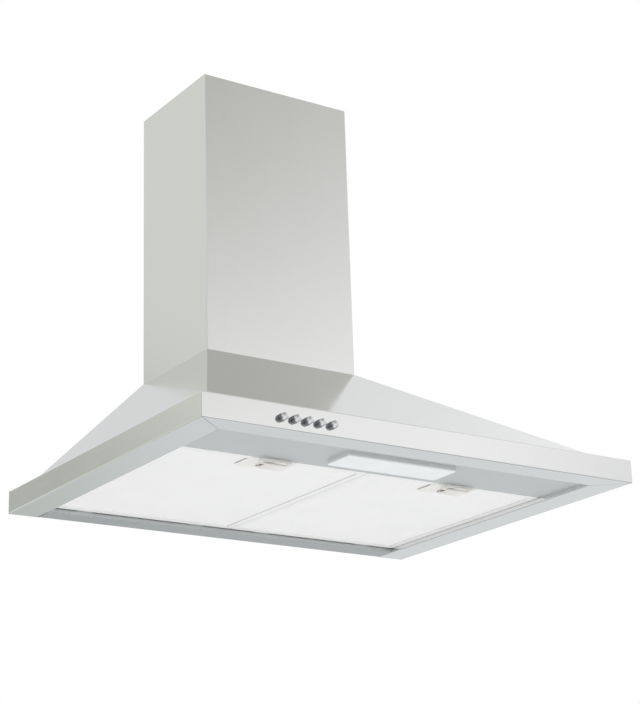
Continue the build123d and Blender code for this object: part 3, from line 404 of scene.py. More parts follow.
@dataclass(frozen=True)
class ChromeCapWithPaintedShade(Finish):
    """A push-button cap: a bright chrome crown on a glossy skirt whose dark colour is painted
    shade, standing in for the dark reflection on the caps' sides.

    The two are parted at one depth in front of the wall, the same for all five caps.
    """

    crown_colour: str
    skirt_painted_shade_colour: str
    crown_roughness: float = 0.09
    skirt_roughness: float = 0.2
    scratch_mm: float = 0.5
    scratch_change: tuple[float, float] = (0.85, 1.25)
    crown_start_mm: float = -480.5
    crown_edge_mm: float = 0.3

    def surface(self, add: Adder, place: NodeSocket) -> Inputs:
        """Draws the crown and the skirt, whose dark colour is painted shade, both with hair-fine
        scratches.

        Args:
            add: the call that adds a node to the material.
            place: the output that gives the place on the piece.

        Returns:
            The inputs of the principled surface.
        """
        depth = add("ShaderNodeSeparateXYZ", {0: place}).outputs["Y"]
        start, edge = self.crown_start_mm * MM, self.crown_edge_mm * MM
        crown = add("ShaderNodeMapRange", mapped(depth, (start + edge, start - edge), WHOLE_SPAN))
        # The skirt's dark colour is painted shade: the dark reflection on the caps' sides, put into
        # the colour.
        skirt, top = linear(self.skirt_painted_shade_colour), linear(self.crown_colour)
        scale = 1 / (self.scratch_mm * MM)
        scratches = add("ShaderNodeTexNoise", {"Scale": scale, "Detail": 3.0, "Vector": place})
        wear = add("ShaderNodeMapRange", mapped(scratches, NOISE_MIDDLE, self.scratch_change))
        smooth = add(
            "ShaderNodeMapRange",
            mapped(crown, WHOLE_SPAN, (self.skirt_roughness, self.crown_roughness)),
        )
        return {
            "Metallic": 1.0,
            "Base Color": add(
                "ShaderNodeMix",
                {"Factor_Float": crown, "A_Color": skirt, "B_Color": top},
                data_type="RGBA",
            ),
            "Roughness": add("ShaderNodeMath", {0: smooth, 1: wear}, operation="MULTIPLY"),
        }


# The canopy and chimney: pale steel whose lines smear a reflection across the grain.
STEEL_COLOUR = "edeeed"
STEEL_ACROSS = BrushedSteel("stainless_ground_across", STEEL_COLOUR, Grain.ACROSS)
STEEL_INTO_WALL = BrushedSteel("stainless_ground_into_wall", STEEL_COLOUR, Grain.INTO_WALL)
STEEL_UPRIGHT = BrushedSteel("stainless_ground_upright", STEEL_COLOUR, Grain.UPRIGHT)

# Finish of each material slot of the record.
SLOT_FINISHES = {
    "stainless_brushed": STEEL_ACROSS,
    # Straight from the zinc bath: dull, with a mosaic of crystals.
    "galvanised": ZincCoatedSheet("galvanised_spangle", "c8cccc"),
    # Sprayed and baked: an even, cool grey with a wide, weak sheen.
    "lamp_panel_sheet": Coating("enamel_blue_grey", "babfc0", 0.32, texture_mm=1.2),
    # Anodised after etching: pale and matt, hardly like metal.
    "filter_aluminium": Coating("aluminium_anodised_pale", "fafaf9", 0.4, metallic=0.2),
    # Moulded: a warm white with a faint sheen.
    "latch_plate_plastic": Coating("nylon_cream", "efedea", 0.38),
    # Plated on a polished ground: a mirror.
    "chrome": Coating("chrome_plated", "d6d8da", 0.06, metallic=1.0, texture_depth_mm=0.001),
    # Milky all through and moulded glossy: a clear highlight on white.
    "lens_plastic": Coating("acrylic_opal", "f4f7f7", 0.22, coat=0.3, ior=1.49),
    # Moulded with a fine grit, which spreads the highlights.
    "grey_plastic": Coating("abs_grey", "9a9c9d", 0.42),
    "black_plastic": Coating("polypropylene_black", "1d1e20", 0.45),
    "white_plastic": Coating("nylon_white", "e2e1dc", 0.4),
    # Blown: see-through, with sharp highlights.
    "lamp_glass": Coating(
        "soda_glass_clear", "f7f7f2", 0.05, transmission=1.0, texture_depth_mm=0.0005, ior=1.52
    ),
    # Bright-dipped zinc: a cool, slightly clouded shine.
    "zinc_screw": Coating("steel_zinc_plated", "c3c6c8", 0.26, metallic=1.0),
    # Dipped in lacquer: dark, with a glossy skin over it.
    "motor_steel": Coating("motor_can_lacquered", "3c3e41", 0.35, coat=0.4),
    # Ground between centres: a plain, soft shine.
    "shaft_steel": Coating("steel_ground_bar", "a9abad", 0.24, metallic=1.0),
    # Moulded soft: black and almost without shine.
    "rubber": Coating("rubber_black", "171717", 0.72, texture_depth_mm=0.012),
}

# Finishes that differ from the usual one of a piece's slot. The filter's mesh and foil are etched,
# so they are nearly white and matt. The weld is ground like the steel round it, but duller.
MESH_FINISH = Coating(
    "aluminium_expanded_etched", "ffffff", 0.5, metallic=0.05, texture_mm=0.8, patch_tone=0.015
)
CORE_FINISH = Coating("aluminium_foil_etched", "fafaf9", 0.5, metallic=0.1, texture_mm=0.8)
WELD_FINISH = Coating("stainless_weld_ground", "e6e7e6", 0.3, metallic=1.0, texture_mm=0.4)
# A pale moulding, matt beside the glossy lens.
BEZEL_FINISH = Coating("abs_light_grey", "d2d5d6", 0.42)
# Nickel over a brushed ground: warm, pale and silky.
LATCH_FINISH = Coating("nickel_satin", "f1eee8", 0.36, metallic=0.35, texture_depth_mm=0.002)
# The caps' dark skirt is painted shade, not a plating of their own.
CAP_FINISH = ChromeCapWithPaintedShade("chrome_cap_painted_shade_skirt", "dcdee0", "8a8b8e")


# ---------------------------------------------------------------------- studio
@dataclass(frozen=True)
class Flag:
    """A grey card in the studio, seen only in reflections: a round patch of the surroundings.

    It has its full colour up to the inner angle from its middle, and none past the outer.
    """

    azimuth: float
    elevation: float
    inner_degrees: float
    outer_degrees: float
    colour: str


@dataclass
class Studio:
    """White surroundings, a pale floor and the camera at the photograph's place."""

    camera_place: tuple[float, float, float] = (-1.2460, -2.0978, -0.5628)
    azimuth: float = 34.05
    elevation: float = 18.56
    roll: float = -1.74
    image_height: int = 704
    focal_pixels: float = 1884.7
    sensor: float = 36.0
    clip_start: float = 0.05
    clip_end: float = 60.0
    floor_height: float = -0.75
    floor_radius: float = 9.0
    floor_sides: int = 96
    white: str = "ffffff"
    world_strength: float = 1.0
    flags: tuple[Flag, ...] = (
        # Cards that give the steel its tones from the photograph's place.
        Flag(121, -52, 8, 24, "7c8082"),
        Flag(-22, -32, 6, 22, "cbcbc8"),
        Flag(160, 42, 12, 31, "bab9b5"),
        Flag(128, 12, 2, 13.5, "e4e4e5"),
        Flag(-22, 8, 5, 14, "cfd0ce"),
        Flag(-30, 27, 12.5, 19, "dbded7"),
        Flag(-14, 30, 3, 12, "eeefec"),
        Flag(26, 23.5, 8.5, 25, "dadbdc"),
        Flag(15, -8, 0, 18.5, "d0d4cb"),
        Flag(20, -30, 19, 42, "dadddf"),
        # Cards that keep the steel grey from the other sides.
        Flag(200, -8, 0, 38, "b9bcbe"),
        Flag(240, -10, 5, 45, "c6c8c9"),
        Flag(-75, 8, 0, 34, "b5b8ba"),
        Flag(78, 6, 0, 33, "b5b8ba"),
        Flag(-90, 48, 5, 30, "cdcfd0"),
        Flag(135, -11, 4, 19, "c8cacb"),
        Flag(-47, -12, 5, 24, "c0c2c2"),
        Flag(75, 47, 4, 20, "d3d5d6"),
        Flag(203, 45, 5, 35, "c6c8c9"),
        Flag(0, 88, 10, 50, "cccdce"),
    )

    def build(self) -> None:
        """Makes the world, which is the only light, the floor and the camera."""
        self.make_world()
        self.make_floor()
        self.make_camera()
        bpy.context.scene.view_settings.view_transform = "Standard"

    def make_world(self) -> None:
        """Makes white surroundings, with the flags seen only by reflected rays."""
        world = bpy.data.worlds.new("studio")
        bpy.context.scene.world = world
        world.use_nodes = True
        world.node_tree.nodes.clear()
        add = partial(add_node, world.node_tree)
        ray = add("ShaderNodeTexCoord").outputs["Generated"]
        white = linear(self.white)
        shade: object = white
        for flag in self.flags:
            nearness = add(
                "ShaderNodeVectorMath",
                {0: ray, 1: towards(flag.azimuth, flag.elevation)},
                operation="DOT_PRODUCT",
            )
            outer, inner = (
                math.cos(math.radians(angle)) for angle in (flag.outer_degrees, flag.inner_degrees)
            )
            patch = add(
                "ShaderNodeMapRange",
                mapped(nearness, (outer, inner), WHOLE_SPAN),
                interpolation_type="SMOOTHSTEP",
            )
            shade = add(
                "ShaderNodeMix",
                {"Factor_Float": patch, "A_Color": shade, "B_Color": linear(flag.colour)},
                data_type="RGBA",
                blend_type="MULTIPLY",
            )
        reflected = add("ShaderNodeLightPath").outputs["Is Glossy Ray"]
        seen = add(
            "ShaderNodeMix",
            {"Factor_Float": reflected, "A_Color": white, "B_Color": shade},
            data_type="RGBA",
        )
        light = add("ShaderNodeBackground", {"Strength": self.world_strength, "Color": seen})
        add("ShaderNodeOutputWorld", {"Surface": light})

    def make_floor(self) -> None:
        """Makes a white round floor far below, clear from underneath."""
        shape = bmesh.new()
        bmesh.ops.create_circle(
            shape, cap_ends=True, segments=self.floor_sides, radius=self.floor_radius
        )
        bmesh.ops.translate(shape, vec=(0, 0, self.floor_height), verts=shape.verts)
        mesh = bpy.data.meshes.new("floor")
        shape.to_mesh(mesh)
        shape.free()
        floor = bpy.data.objects.new("floor", mesh)
        bpy.context.scene.collection.objects.link(floor)
        floor.visible_glossy = False
        material, add = new_material("floor_white")
        side = add("ShaderNodeNewGeometry").outputs["Backfacing"]
        paint = add("ShaderNodeBsdfDiffuse", {"Color": linear(self.white)})
        clear = add("ShaderNodeBsdfTransparent")
        surface = add("ShaderNodeMixShader", {0: side, 1: paint, 2: clear})
        add("ShaderNodeOutputMaterial", {"Surface": surface})
        mesh.materials.append(material)

    def make_camera(self) -> None:
        """Makes the camera from its place, direction, roll and focal length."""
        forward = towards(self.azimuth, self.elevation)
        roll = math.radians(self.roll)
        right = forward.cross(Vector((0, 0, 1))).normalized()
        up = right.cross(forward)
        rolled_right = right * math.cos(roll) + up * math.sin(roll)
        rolled_up = up * math.cos(roll) - right * math.sin(roll)
        data = bpy.data.cameras.new("camera")
        data.sensor_width = self.sensor
        data.lens = self.focal_pixels * self.sensor / self.image_height
        data.clip_start = self.clip_start
        data.clip_end = self.clip_end
        camera = bpy.data.objects.new("camera", data)
        axes = Matrix((rolled_right, rolled_up, -forward)).transposed()
        camera.matrix_world = Matrix.Translation(self.camera_place) @ axes.to_4x4()
        bpy.context.scene.collection.objects.link(camera)
        bpy.context.scene.camera = camera


# ---------------------------------------------------------------------- geometry node trees
INPUT_KINDS = {
    float: "NodeSocketFloat",
    int: "NodeSocketInt",
    Material: "NodeSocketMaterial",
}


class Recipe:
    """A geometry node tree with named inputs, whose result is kept as a plain mesh."""

    def __init__(self, name: str, values: dict[str, object]) -> None:
        """Starts a tree.

        Args:
            name: the tree's name.
            values: label of each input to its value, a number or a material.
        """
        self.values = values
        self.tree = bpy.data.node_groups.new(name, "GeometryNodeTree")
        self.identifiers: dict[str, str] = {}
        interface = self.tree.interface
        for direction in ("OUTPUT", "INPUT"):
            interface.new_socket("Geometry", in_out=direction, socket_type="NodeSocketGeometry")
        for label, value in values.items():
            kind = INPUT_KINDS[type(value)]
            socket = interface.new_socket(label, in_out="INPUT", socket_type=kind)
            self.identifiers[label] = socket.identifier
        self.sources = add_node(self.tree, "NodeGroupInput").outputs

    def add(self, kind: str, inputs: Inputs | None = None, **settings: object) -> Node:
        """Adds a node to the tree.

        Args:
            kind: Blender's type name for the node.
            inputs: what fills its inputs. The label of one of the tree's own stands for that one.
            settings: the node's own properties.

        Returns:
            The new node.
        """
        filled = dict(inputs or {})
        for key, filling in filled.items():
            if isinstance(filling, str) and filling in self.sources:
                filled[key] = self.sources[filling]
        return add_node(self.tree, kind, filled, **settings)

    def raised(self, shape: object, rise: object) -> Node:
        """Moves a shape up.

        Args:
            shape: the node or output that gives it.
            rise: how far, as a number, a label or a node.

        Returns:
            The node that hands it out in its new place.
        """
        shift = self.add("ShaderNodeCombineXYZ", {"Z": rise})
        return self.add("GeometryNodeTransform", {"Geometry": shape, "Translation": shift})

    def finish(self, shape: object, rotation: object = None) -> None:
        """Ends the tree: the shape on each point, made real and dressed in the input Finish.

        Args:
            shape: what each point gets.
            rotation: how it is turned there, or None for a shape that isn't turned.
        """
        inputs = {"Points": "Geometry", "Instance": shape}
        if rotation is not None:
            inputs["Rotation"] = rotation
        placed = self.add("GeometryNodeInstanceOnPoints", inputs)
        real = self.add("GeometryNodeRealizeInstances", {"Geometry": placed})
        dressed = self.add("GeometryNodeSetMaterial", {"Geometry": real, "Material": "Finish"})
        self.add("NodeGroupOutput", {"Geometry": dressed})

    def grow(self, name: str, points: Sequence[Vector], axes: Sequence[Vector] = ()) -> Object:
        """Runs the tree on some points and returns its result as a plain mesh object.

        Args:
            name: the new piece's name.
            points: the places that the tree starts from.
            axes: the direction at each point, for a tree that reads the attribute "axis".

        Returns:
            An object with no modifier, at the origin.
        """
        seeds = bpy.data.meshes.new(name + "_seeds")
        seeds.from_pydata([tuple(point) for point in points], [], [])
        if axes:
            attribute = seeds.attributes.new("axis", "FLOAT_VECTOR", "POINT")
            for item, axis in zip(attribute.data, axes):
                item.vector = axis
        piece = bpy.data.objects.new(name, seeds)
        modifier = piece.modifiers.new("recipe", "NODES")
        modifier.node_group = self.tree
        for label, value in self.values.items():
            modifier[self.identifiers[label]] = value
        bpy.context.scene.collection.objects.link(piece)
        evaluated = piece.evaluated_get(bpy.context.evaluated_depsgraph_get())
        mesh = bpy.data.meshes.new_from_object(evaluated)
        piece.modifiers.remove(modifier)
        piece.data = mesh
        bpy.data.meshes.remove(seeds)
        shape = bmesh.new()
        shape.from_mesh(mesh)
        bmesh.ops.recalc_face_normals(shape, faces=shape.faces)
        shape.to_mesh(mesh)
        shape.free()
        return piece


# ---------------------------------------------------------------------- sub-assemblies
class HoodModel:
    """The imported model: its nodes, the slot and body of each, and the sliding joints' travels."""

    weld_distance = 0.01 * MM

    def __init__(self, frame: dict) -> None:
        """Reads the frame.
        """
        record = frame["record"]
        behaviour = record["behaviour"]
        self.nodes: dict[str, Object] = frame["nodes"]
        self.slots = {part["node"]: part["material_slot"] for part in record["subparts"]}
        self.bodies = {
            node: body for body, members in behaviour["bodies"].items() for node in members
        }
        self.travels = {
            joint["name"]: max(abs(end) for end in joint["range_m"])
            for joint in behaviour["joints"]
            if "range_m" in joint
        }

    def solids(self, node: str) -> list[tuple[Vector, Vector, list[Vector]]]:
        """Splits a node of several like solids.

        Args:
            node: the node's name.

        Returns:
            Lowest corner, highest corner and points of each solid.
        """
        shape = bmesh.new()
        shape.from_mesh(self.nodes[node].data)
        bmesh.ops.remove_doubles(shape, verts=shape.verts, dist=self.weld_distance)
        left = set(shape.verts)
        found = []
        while left:
            group = [left.pop()]
            for vertex in group:
                for edge in vertex.link_edges:
                    other = edge.other_vert(vertex)
                    if other in left:
                        left.remove(other)
                        group.append(other)
            points = [vertex.co.copy() for vertex in group]
            low, high = (
                Vector([end(point[axis] for point in points) for axis in range(3)])
                for end in (min, max)
            )
            found.append((low, high, points))
        shape.free()
        return sorted(found, key=lambda solid: tuple(solid[0]))


@dataclass
class SubAssembly:
    """CAD pieces that belong together. Each gets its own finish, or else that of its slot."""

    model: HoodModel

    pieces: ClassVar[tuple[str, ...]] = ()
    own_finishes: ClassVar[dict[str, Finish]] = {}

    def build(self) -> None:
        """Makes the pieces that the scene adds, if there are any."""

    def dress(self) -> None:
        """Gives every CAD piece its finish."""
        for name in self.pieces:
            finish = self.finish_of(name)
            mesh = self.model.nodes[name].data
            mesh.materials.clear()
            mesh.materials.append(finish.material())
            LOG.info("%s: %s in %s", type(self).__name__, name, finish.name)

    def finish_of(self, node: str) -> Finish:
        """Returns the finish of a CAD node: its own, or else the usual one of its slot."""
        return self.own_finishes.get(node, SLOT_FINISHES[self.model.slots[node]])

    def sizes(self, *left_out: str) -> dict[str, object]:
        """Lays out this class's numbers as the inputs of a tree.

        Args:
            left_out: fields that the tree has no use for.

        Returns:
            Label of each input, as in "Head Height", to its value.
        """
        return {
            field.replace("_", " ").title(): size
            for field, size in vars(self).items()
            if isinstance(size, (int, float)) and field not in left_out
        }

    def stand_for(self, piece: Object, node: str) -> None:
        """Puts a piece on the body and slot of the CAD node that it replaces.

        Args:
            piece: the scene's own piece.
            node: the CAD node.
        """
        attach(piece, self.model.bodies[node])
        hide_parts(node)
        faces = len(piece.data.polygons)
        LOG.info("%s: %s stands for %s, %d faces", type(self).__name__, piece.name, node, faces)


@dataclass
class Canopy(SubAssembly):
    """The sloping canopy, the rim with its turned-in flanges, and the sheets behind and above."""

    pieces = (
        "canopy_front",
        "canopy_left",
        "canopy_right",
        "rim_front",
        "rim_left",
        "rim_right",
        "back_panel",
        "deck",
    )
    own_finishes = dict.fromkeys(
        ("canopy_left", "canopy_right", "rim_left", "rim_right"), STEEL_INTO_WALL
    )
    bead_radius: float = 0.5 * MM
    bead_sides: int = 24

    def build(self) -> None:
        """Runs a ground weld bead down the joint at each front corner of the rim."""
        low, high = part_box("rim_front")
        values = self.sizes()
        values["Bead Length"] = high.z - low.z - 2 * self.bead_radius
        values["Finish"] = WELD_FINISH.material()
        recipe = Recipe("weld_bead", values)
        rod = recipe.add(
            "GeometryNodeMeshCylinder",
            {"Vertices": "Bead Sides", "Radius": "Bead Radius", "Depth": "Bead Length"},
        )
        recipe.finish(rod)
        for side, x in (
            ("left", low.x + self.bead_radius),
            ("right", high.x - self.bead_radius),
        ):
            middle = Vector((x, low.y + self.bead_radius, (low.z + high.z) / 2))
            piece = recipe.grow(f"corner_weld_{side}", [middle])
            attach(piece, self.model.bodies["rim_front"])
            LOG.info("%s: %s in %s", type(self).__name__, piece.name, WELD_FINISH.name)


@dataclass
class ChimneyCovers(SubAssembly):
    """The fixed cover, the one that slides up out of it, and the bracket that holds its top."""

    pieces = ("lower_chimney_cover", "upper_chimney_cover", "ceiling_bracket")
    own_finishes = dict.fromkeys(("lower_chimney_cover", "upper_chimney_cover"), STEEL_UPRIGHT)


@dataclass
class LampPanel(SubAssembly):
    """The fixed sheet behind the front rim, with the lamp's tray, bezel, lens, holder and bulb."""

    pieces = ("lamp_panel", "lamp_tray", "lamp_bezel", "lamp_lens", "lamp_holder", "lamp_bulb")
    own_finishes = {"lamp_bezel": BEZEL_FINISH}


@dataclass
class ButtonRow(SubAssembly):
    """The five push buttons with the switch block and bracket behind them."""

    caps = ("button_off", "button_speed_1", "button_speed_2", "button_speed_3", "button_light")
    pieces = (*caps, "switch_body", "switch_bracket")
    own_finishes = dict.fromkeys(caps, CAP_FINISH)


@dataclass
class GreaseFilter(SubAssembly):
    """One grease filter: frame, folded core and an expanded mesh face backed by knitted foil.

    The knitted layer is too fine to show, so it is drawn as a thin closed sheet.
    """

    side: str = "left"
    long_pitch: float = 8.0 * MM
    short_pitch: float = 4.0 * MM
    strand_width: float = 0.9 * MM
    strand_sheet: float = 0.1 * MM
    strand_tilt: float = math.radians(4)
    knit_sheet: float = 0.1 * MM
    knit_rise: float = 0.13 * MM
    edge_margin: float = 1.5 * MM
    pocket_half_width: float = 30.4 * MM
    pocket_length: float = 36.8 * MM

    def __post_init__(self) -> None:
        """Names the CAD pieces of this side."""
        self.pieces = tuple(
            f"{part}_{self.side}" for part in ("filter_frame", "filter_mesh", "filter_core")
        )
        self.own_finishes = {f"filter_core_{self.side}": CORE_FINISH}

    def build(self) -> None:
        """Weaves the face mesh over the CAD sheet's box, clear of the latch's pocket."""
        node = f"filter_mesh_{self.side}"
        low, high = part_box(node)
        centre = (low + high) / 2
        values = self.sizes("edge_margin", "pocket_length")
        for label, axis, pitch in (("Columns", 0, self.long_pitch), ("Rows", 1, self.short_pitch)):
            reach = high[axis] - low[axis] - 2 * self.edge_margin
            values[label] = int((reach - pitch) / pitch) + 1
        values["Pocket Rear"] = low.y - centre.y + self.pocket_length
        values["Finish"] = MESH_FINISH.material()
        recipe = Recipe("expanded_mesh", values)
        self.draw(recipe)
        strand_height = self.strand_width * math.sin(self.strand_tilt) + self.strand_sheet
        place = Vector((centre.x, centre.y, low.z + strand_height / 2))
        piece = recipe.grow(f"face_mesh_{self.side}", [place])
        self.stand_for(piece, node)

    def draw(self, recipe: Recipe) -> None:
        """Draws the tree: crossed strands on a grid and the knitted layer, less the pocket.

        Args:
            recipe: the tree to draw.
        """
        add = recipe.add
        spreads = []
        for pitch, count in (("Long Pitch", "Columns"), ("Short Pitch", "Rows")):
            steps = add("ShaderNodeMath", {0: count, 1: 1}, operation="SUBTRACT")
            spreads.append(add("ShaderNodeMath", {0: pitch, 1: steps}, operation="MULTIPLY"))
        left, right, front, rear, pocket_left = (
            add("ShaderNodeMath", {0: whole, 1: share}, operation="MULTIPLY")
            for whole, share in (
                (spreads[0], -0.5),
                (spreads[0], 0.5),
                (spreads[1], -0.5),
                (spreads[1], 0.5),
                ("Pocket Half Width", -1),
            )
        )
        layers = [
            self.draw_strands(recipe, *spreads),
            self.draw_sheet(recipe, (left, right), ("Pocket Rear", rear)),
            self.draw_sheet(recipe, (left, pocket_left), (front, "Pocket Rear")),
            self.draw_sheet(recipe, ("Pocket Half Width", right), (front, "Pocket Rear")),
        ]
        recipe.finish(add("GeometryNodeJoinGeometry", {"Geometry": layers}))

    def draw_strands(self, recipe: Recipe, width: Node, depth: Node) -> Node:
        """Draws the crossed strands.

        Args:
            recipe: the face mesh's tree.
            width: the sum that gives the grid's size along X.
            depth: the sum that gives the grid's size along Y.

        Returns:
            The node that hands out the strands, less those in the pocket.
        """
        add = recipe.add
        pitches = add("ShaderNodeCombineXYZ", {"X": "Long Pitch", "Y": "Short Pitch"})
        length = add("ShaderNodeVectorMath", {0: pitches}, operation="LENGTH")
        slope = add("ShaderNodeMath", {0: "Short Pitch", 1: "Long Pitch"}, operation="ARCTAN2")
        size = add("ShaderNodeCombineXYZ", {"X": length, "Y": "Strand Width", "Z": "Strand Sheet"})
        strand = add("GeometryNodeMeshCube", {"Size": size})
        strands = []
        for sense in (1, -1):
            turn = add("ShaderNodeMath", {0: slope, 1: sense}, operation="MULTIPLY")
            angles = add("ShaderNodeCombineXYZ", {"X": "Strand Tilt", "Z": turn})
            strands.append(add("GeometryNodeTransform", {"Geometry": strand, "Rotation": angles}))
        cross = add("GeometryNodeJoinGeometry", {"Geometry": strands})
        grid = add(
            "GeometryNodeMeshGrid",
            {"Size X": width, "Size Y": depth, "Vertices X": "Columns", "Vertices Y": "Rows"},
        )
        position = add("GeometryNodeInputPosition")
        place = add("ShaderNodeSeparateXYZ", {0: position}).outputs
        off_middle = add("ShaderNodeMath", {0: place["X"]}, operation="ABSOLUTE")
        beside, before = (
            add("ShaderNodeMath", {0: along, 1: limit}, operation="LESS_THAN")
            for along, limit in ((off_middle, "Pocket Half Width"), (place["Y"], "Pocket Rear"))
        )
        pocket = add("ShaderNodeMath", {0: beside, 1: before}, operation="MULTIPLY")
        kept = add("GeometryNodeDeleteGeometry", {"Geometry": grid, "Selection": pocket})
        return add("GeometryNodeInstanceOnPoints", {"Points": kept, "Instance": cross})

    def draw_sheet(
        self, recipe: Recipe, across: tuple[object, object], along: tuple[object, object]
    ) -> Node:
        """Draws one rectangle of the knitted layer.

        Args:
            recipe: the face mesh's tree.
            across: its left and right sides.
            along: its front and rear sides.

        Returns:
            The node that hands out the sheet in its place.
        """
        add = recipe.add
        sizes: Inputs = {"Z": "Knit Sheet"}
        middles: Inputs = {"Z": "Knit Rise"}
        for axis, (start, end) in (("X", across), ("Y", along)):
            sizes[axis] = add("ShaderNodeMath", {0: end, 1: start}, operation="SUBTRACT")
            total = add("ShaderNodeMath", {0: start, 1: end}, operation="ADD")
            middles[axis] = add("ShaderNodeMath", {0: total, 1: 0.5}, operation="MULTIPLY")
        slab = add("GeometryNodeMeshCube", {"Size": add("ShaderNodeCombineXYZ", sizes)})
        place = add("ShaderNodeCombineXYZ", middles)
        return add("GeometryNodeTransform", {"Geometry": slab, "Translation": place})


@dataclass
class FilterLatch(SubAssembly):
    """One filter's sliding latch with its guide plate and coil spring."""

    side: str = "left"
    wire: float = 0.5 * MM
    wire_sides: int = 10
    turns: float = 6.5
    closed_share: float = 0.45
    points_per_turn: int = 18

    def __post_init__(self) -> None:
        """Names the CAD pieces of this side."""
        self.pieces = tuple(
            f"{part}_{self.side}" for part in ("latch", "latch_plate", "latch_spring")
        )
        self.own_finishes = {f"latch_{self.side}": LATCH_FINISH}

    def build(self) -> None:
        """Winds the spring in the CAD spring's box and puts it on that node's body."""
        node = f"latch_spring_{self.side}"
        low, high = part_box(node)
        centre = (low + high) / 2
        length = high.y - low.y
        values = self.sizes("points_per_turn")
        values["Coil Radius"] = (high.x - low.x) / 2 - self.wire / 2
        values["Length"] = length - self.wire
        values["Steps"] = int(self.turns * self.points_per_turn)
        values["Finish"] = self.finish_of(node).material()
        recipe = Recipe("coil_spring", values)
        self.draw(recipe)
        start = Vector((centre.x, low.y + self.wire / 2, centre.z))
        piece = recipe.grow(f"coil_spring_{self.side}", [start])
        self.stand_for(piece, node)
        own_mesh(piece)

    def draw(self, recipe: Recipe) -> None:
        """Draws the spring's tree: a line wound round +Y, its end turns closed up.

        Args:
            recipe: the tree to draw.
        """
        add = recipe.add
        line = add("GeometryNodeCurvePrimitiveLine", {"End": (0, 1, 0)}, mode="POINTS")
        fine = add("GeometryNodeResampleCurve", {"Curve": line, "Count": "Steps"})
        share = add("GeometryNodeSplineParameter").outputs["Factor"]
        eased = add("ShaderNodeMapRange", {"Value": share}, interpolation_type="SMOOTHERSTEP")
        along = add(
            "ShaderNodeMix",
            {"Factor_Float": "Closed Share", "A_Float": share, "B_Float": eased},
            data_type="FLOAT",
        )
        turned = add("ShaderNodeMath", {0: share, 1: "Turns"}, operation="MULTIPLY")
        angle = add("ShaderNodeMath", {0: turned, 1: 2 * math.pi}, operation="MULTIPLY")
        wound: Inputs = {"Y": add("ShaderNodeMath", {0: along, 1: "Length"}, operation="MULTIPLY")}
        for axis, wave in (("X", "COSINE"), ("Z", "SINE")):
            swing = add("ShaderNodeMath", {0: angle}, operation=wave)
            wound[axis] = add("ShaderNodeMath", {0: swing, 1: "Coil Radius"}, operation="MULTIPLY")
        place = add("ShaderNodeCombineXYZ", wound)
        coil = add("GeometryNodeSetPosition", {"Geometry": fine, "Position": place})
        radius = add("ShaderNodeMath", {0: "Wire", 1: 0.5}, operation="MULTIPLY")
        section = add(
            "GeometryNodeCurvePrimitiveCircle", {"Resolution": "Wire Sides", "Radius": radius}
        )
        wire = {"Curve": coil, "Profile Curve": section, "Fill Caps": True}
        recipe.finish(add("GeometryNodeCurveToMesh", wire))


@dataclass
class Blower(SubAssembly):
    """The scroll housing in two halves with the double impeller on its shaft."""

    pieces = ("blower_housing_left", "blower_housing_right", "impeller", "motor_shaft")


@dataclass
class MotorUnit(SubAssembly):
    """The motor on its three-armed bracket with rubber bushes."""

    pieces = ("motor", "motor_bracket", "motor_bushes")


@dataclass
class Electrics(SubAssembly):
    """Wiring box, capacitor and the grommet that the supply cable goes through."""

    pieces = (
        "wiring_box",
        "wiring_box_lid",
        "capacitor",
        "capacitor_tabs",
        "capacitor_clip",
        "cable_grommet",
    )


@dataclass
class DuctSpigot(SubAssembly):
    """The round outlet with the two flaps that keep air from coming back."""

    pieces = ("duct_spigot", "flap_front", "flap_rear", "flap_pin")


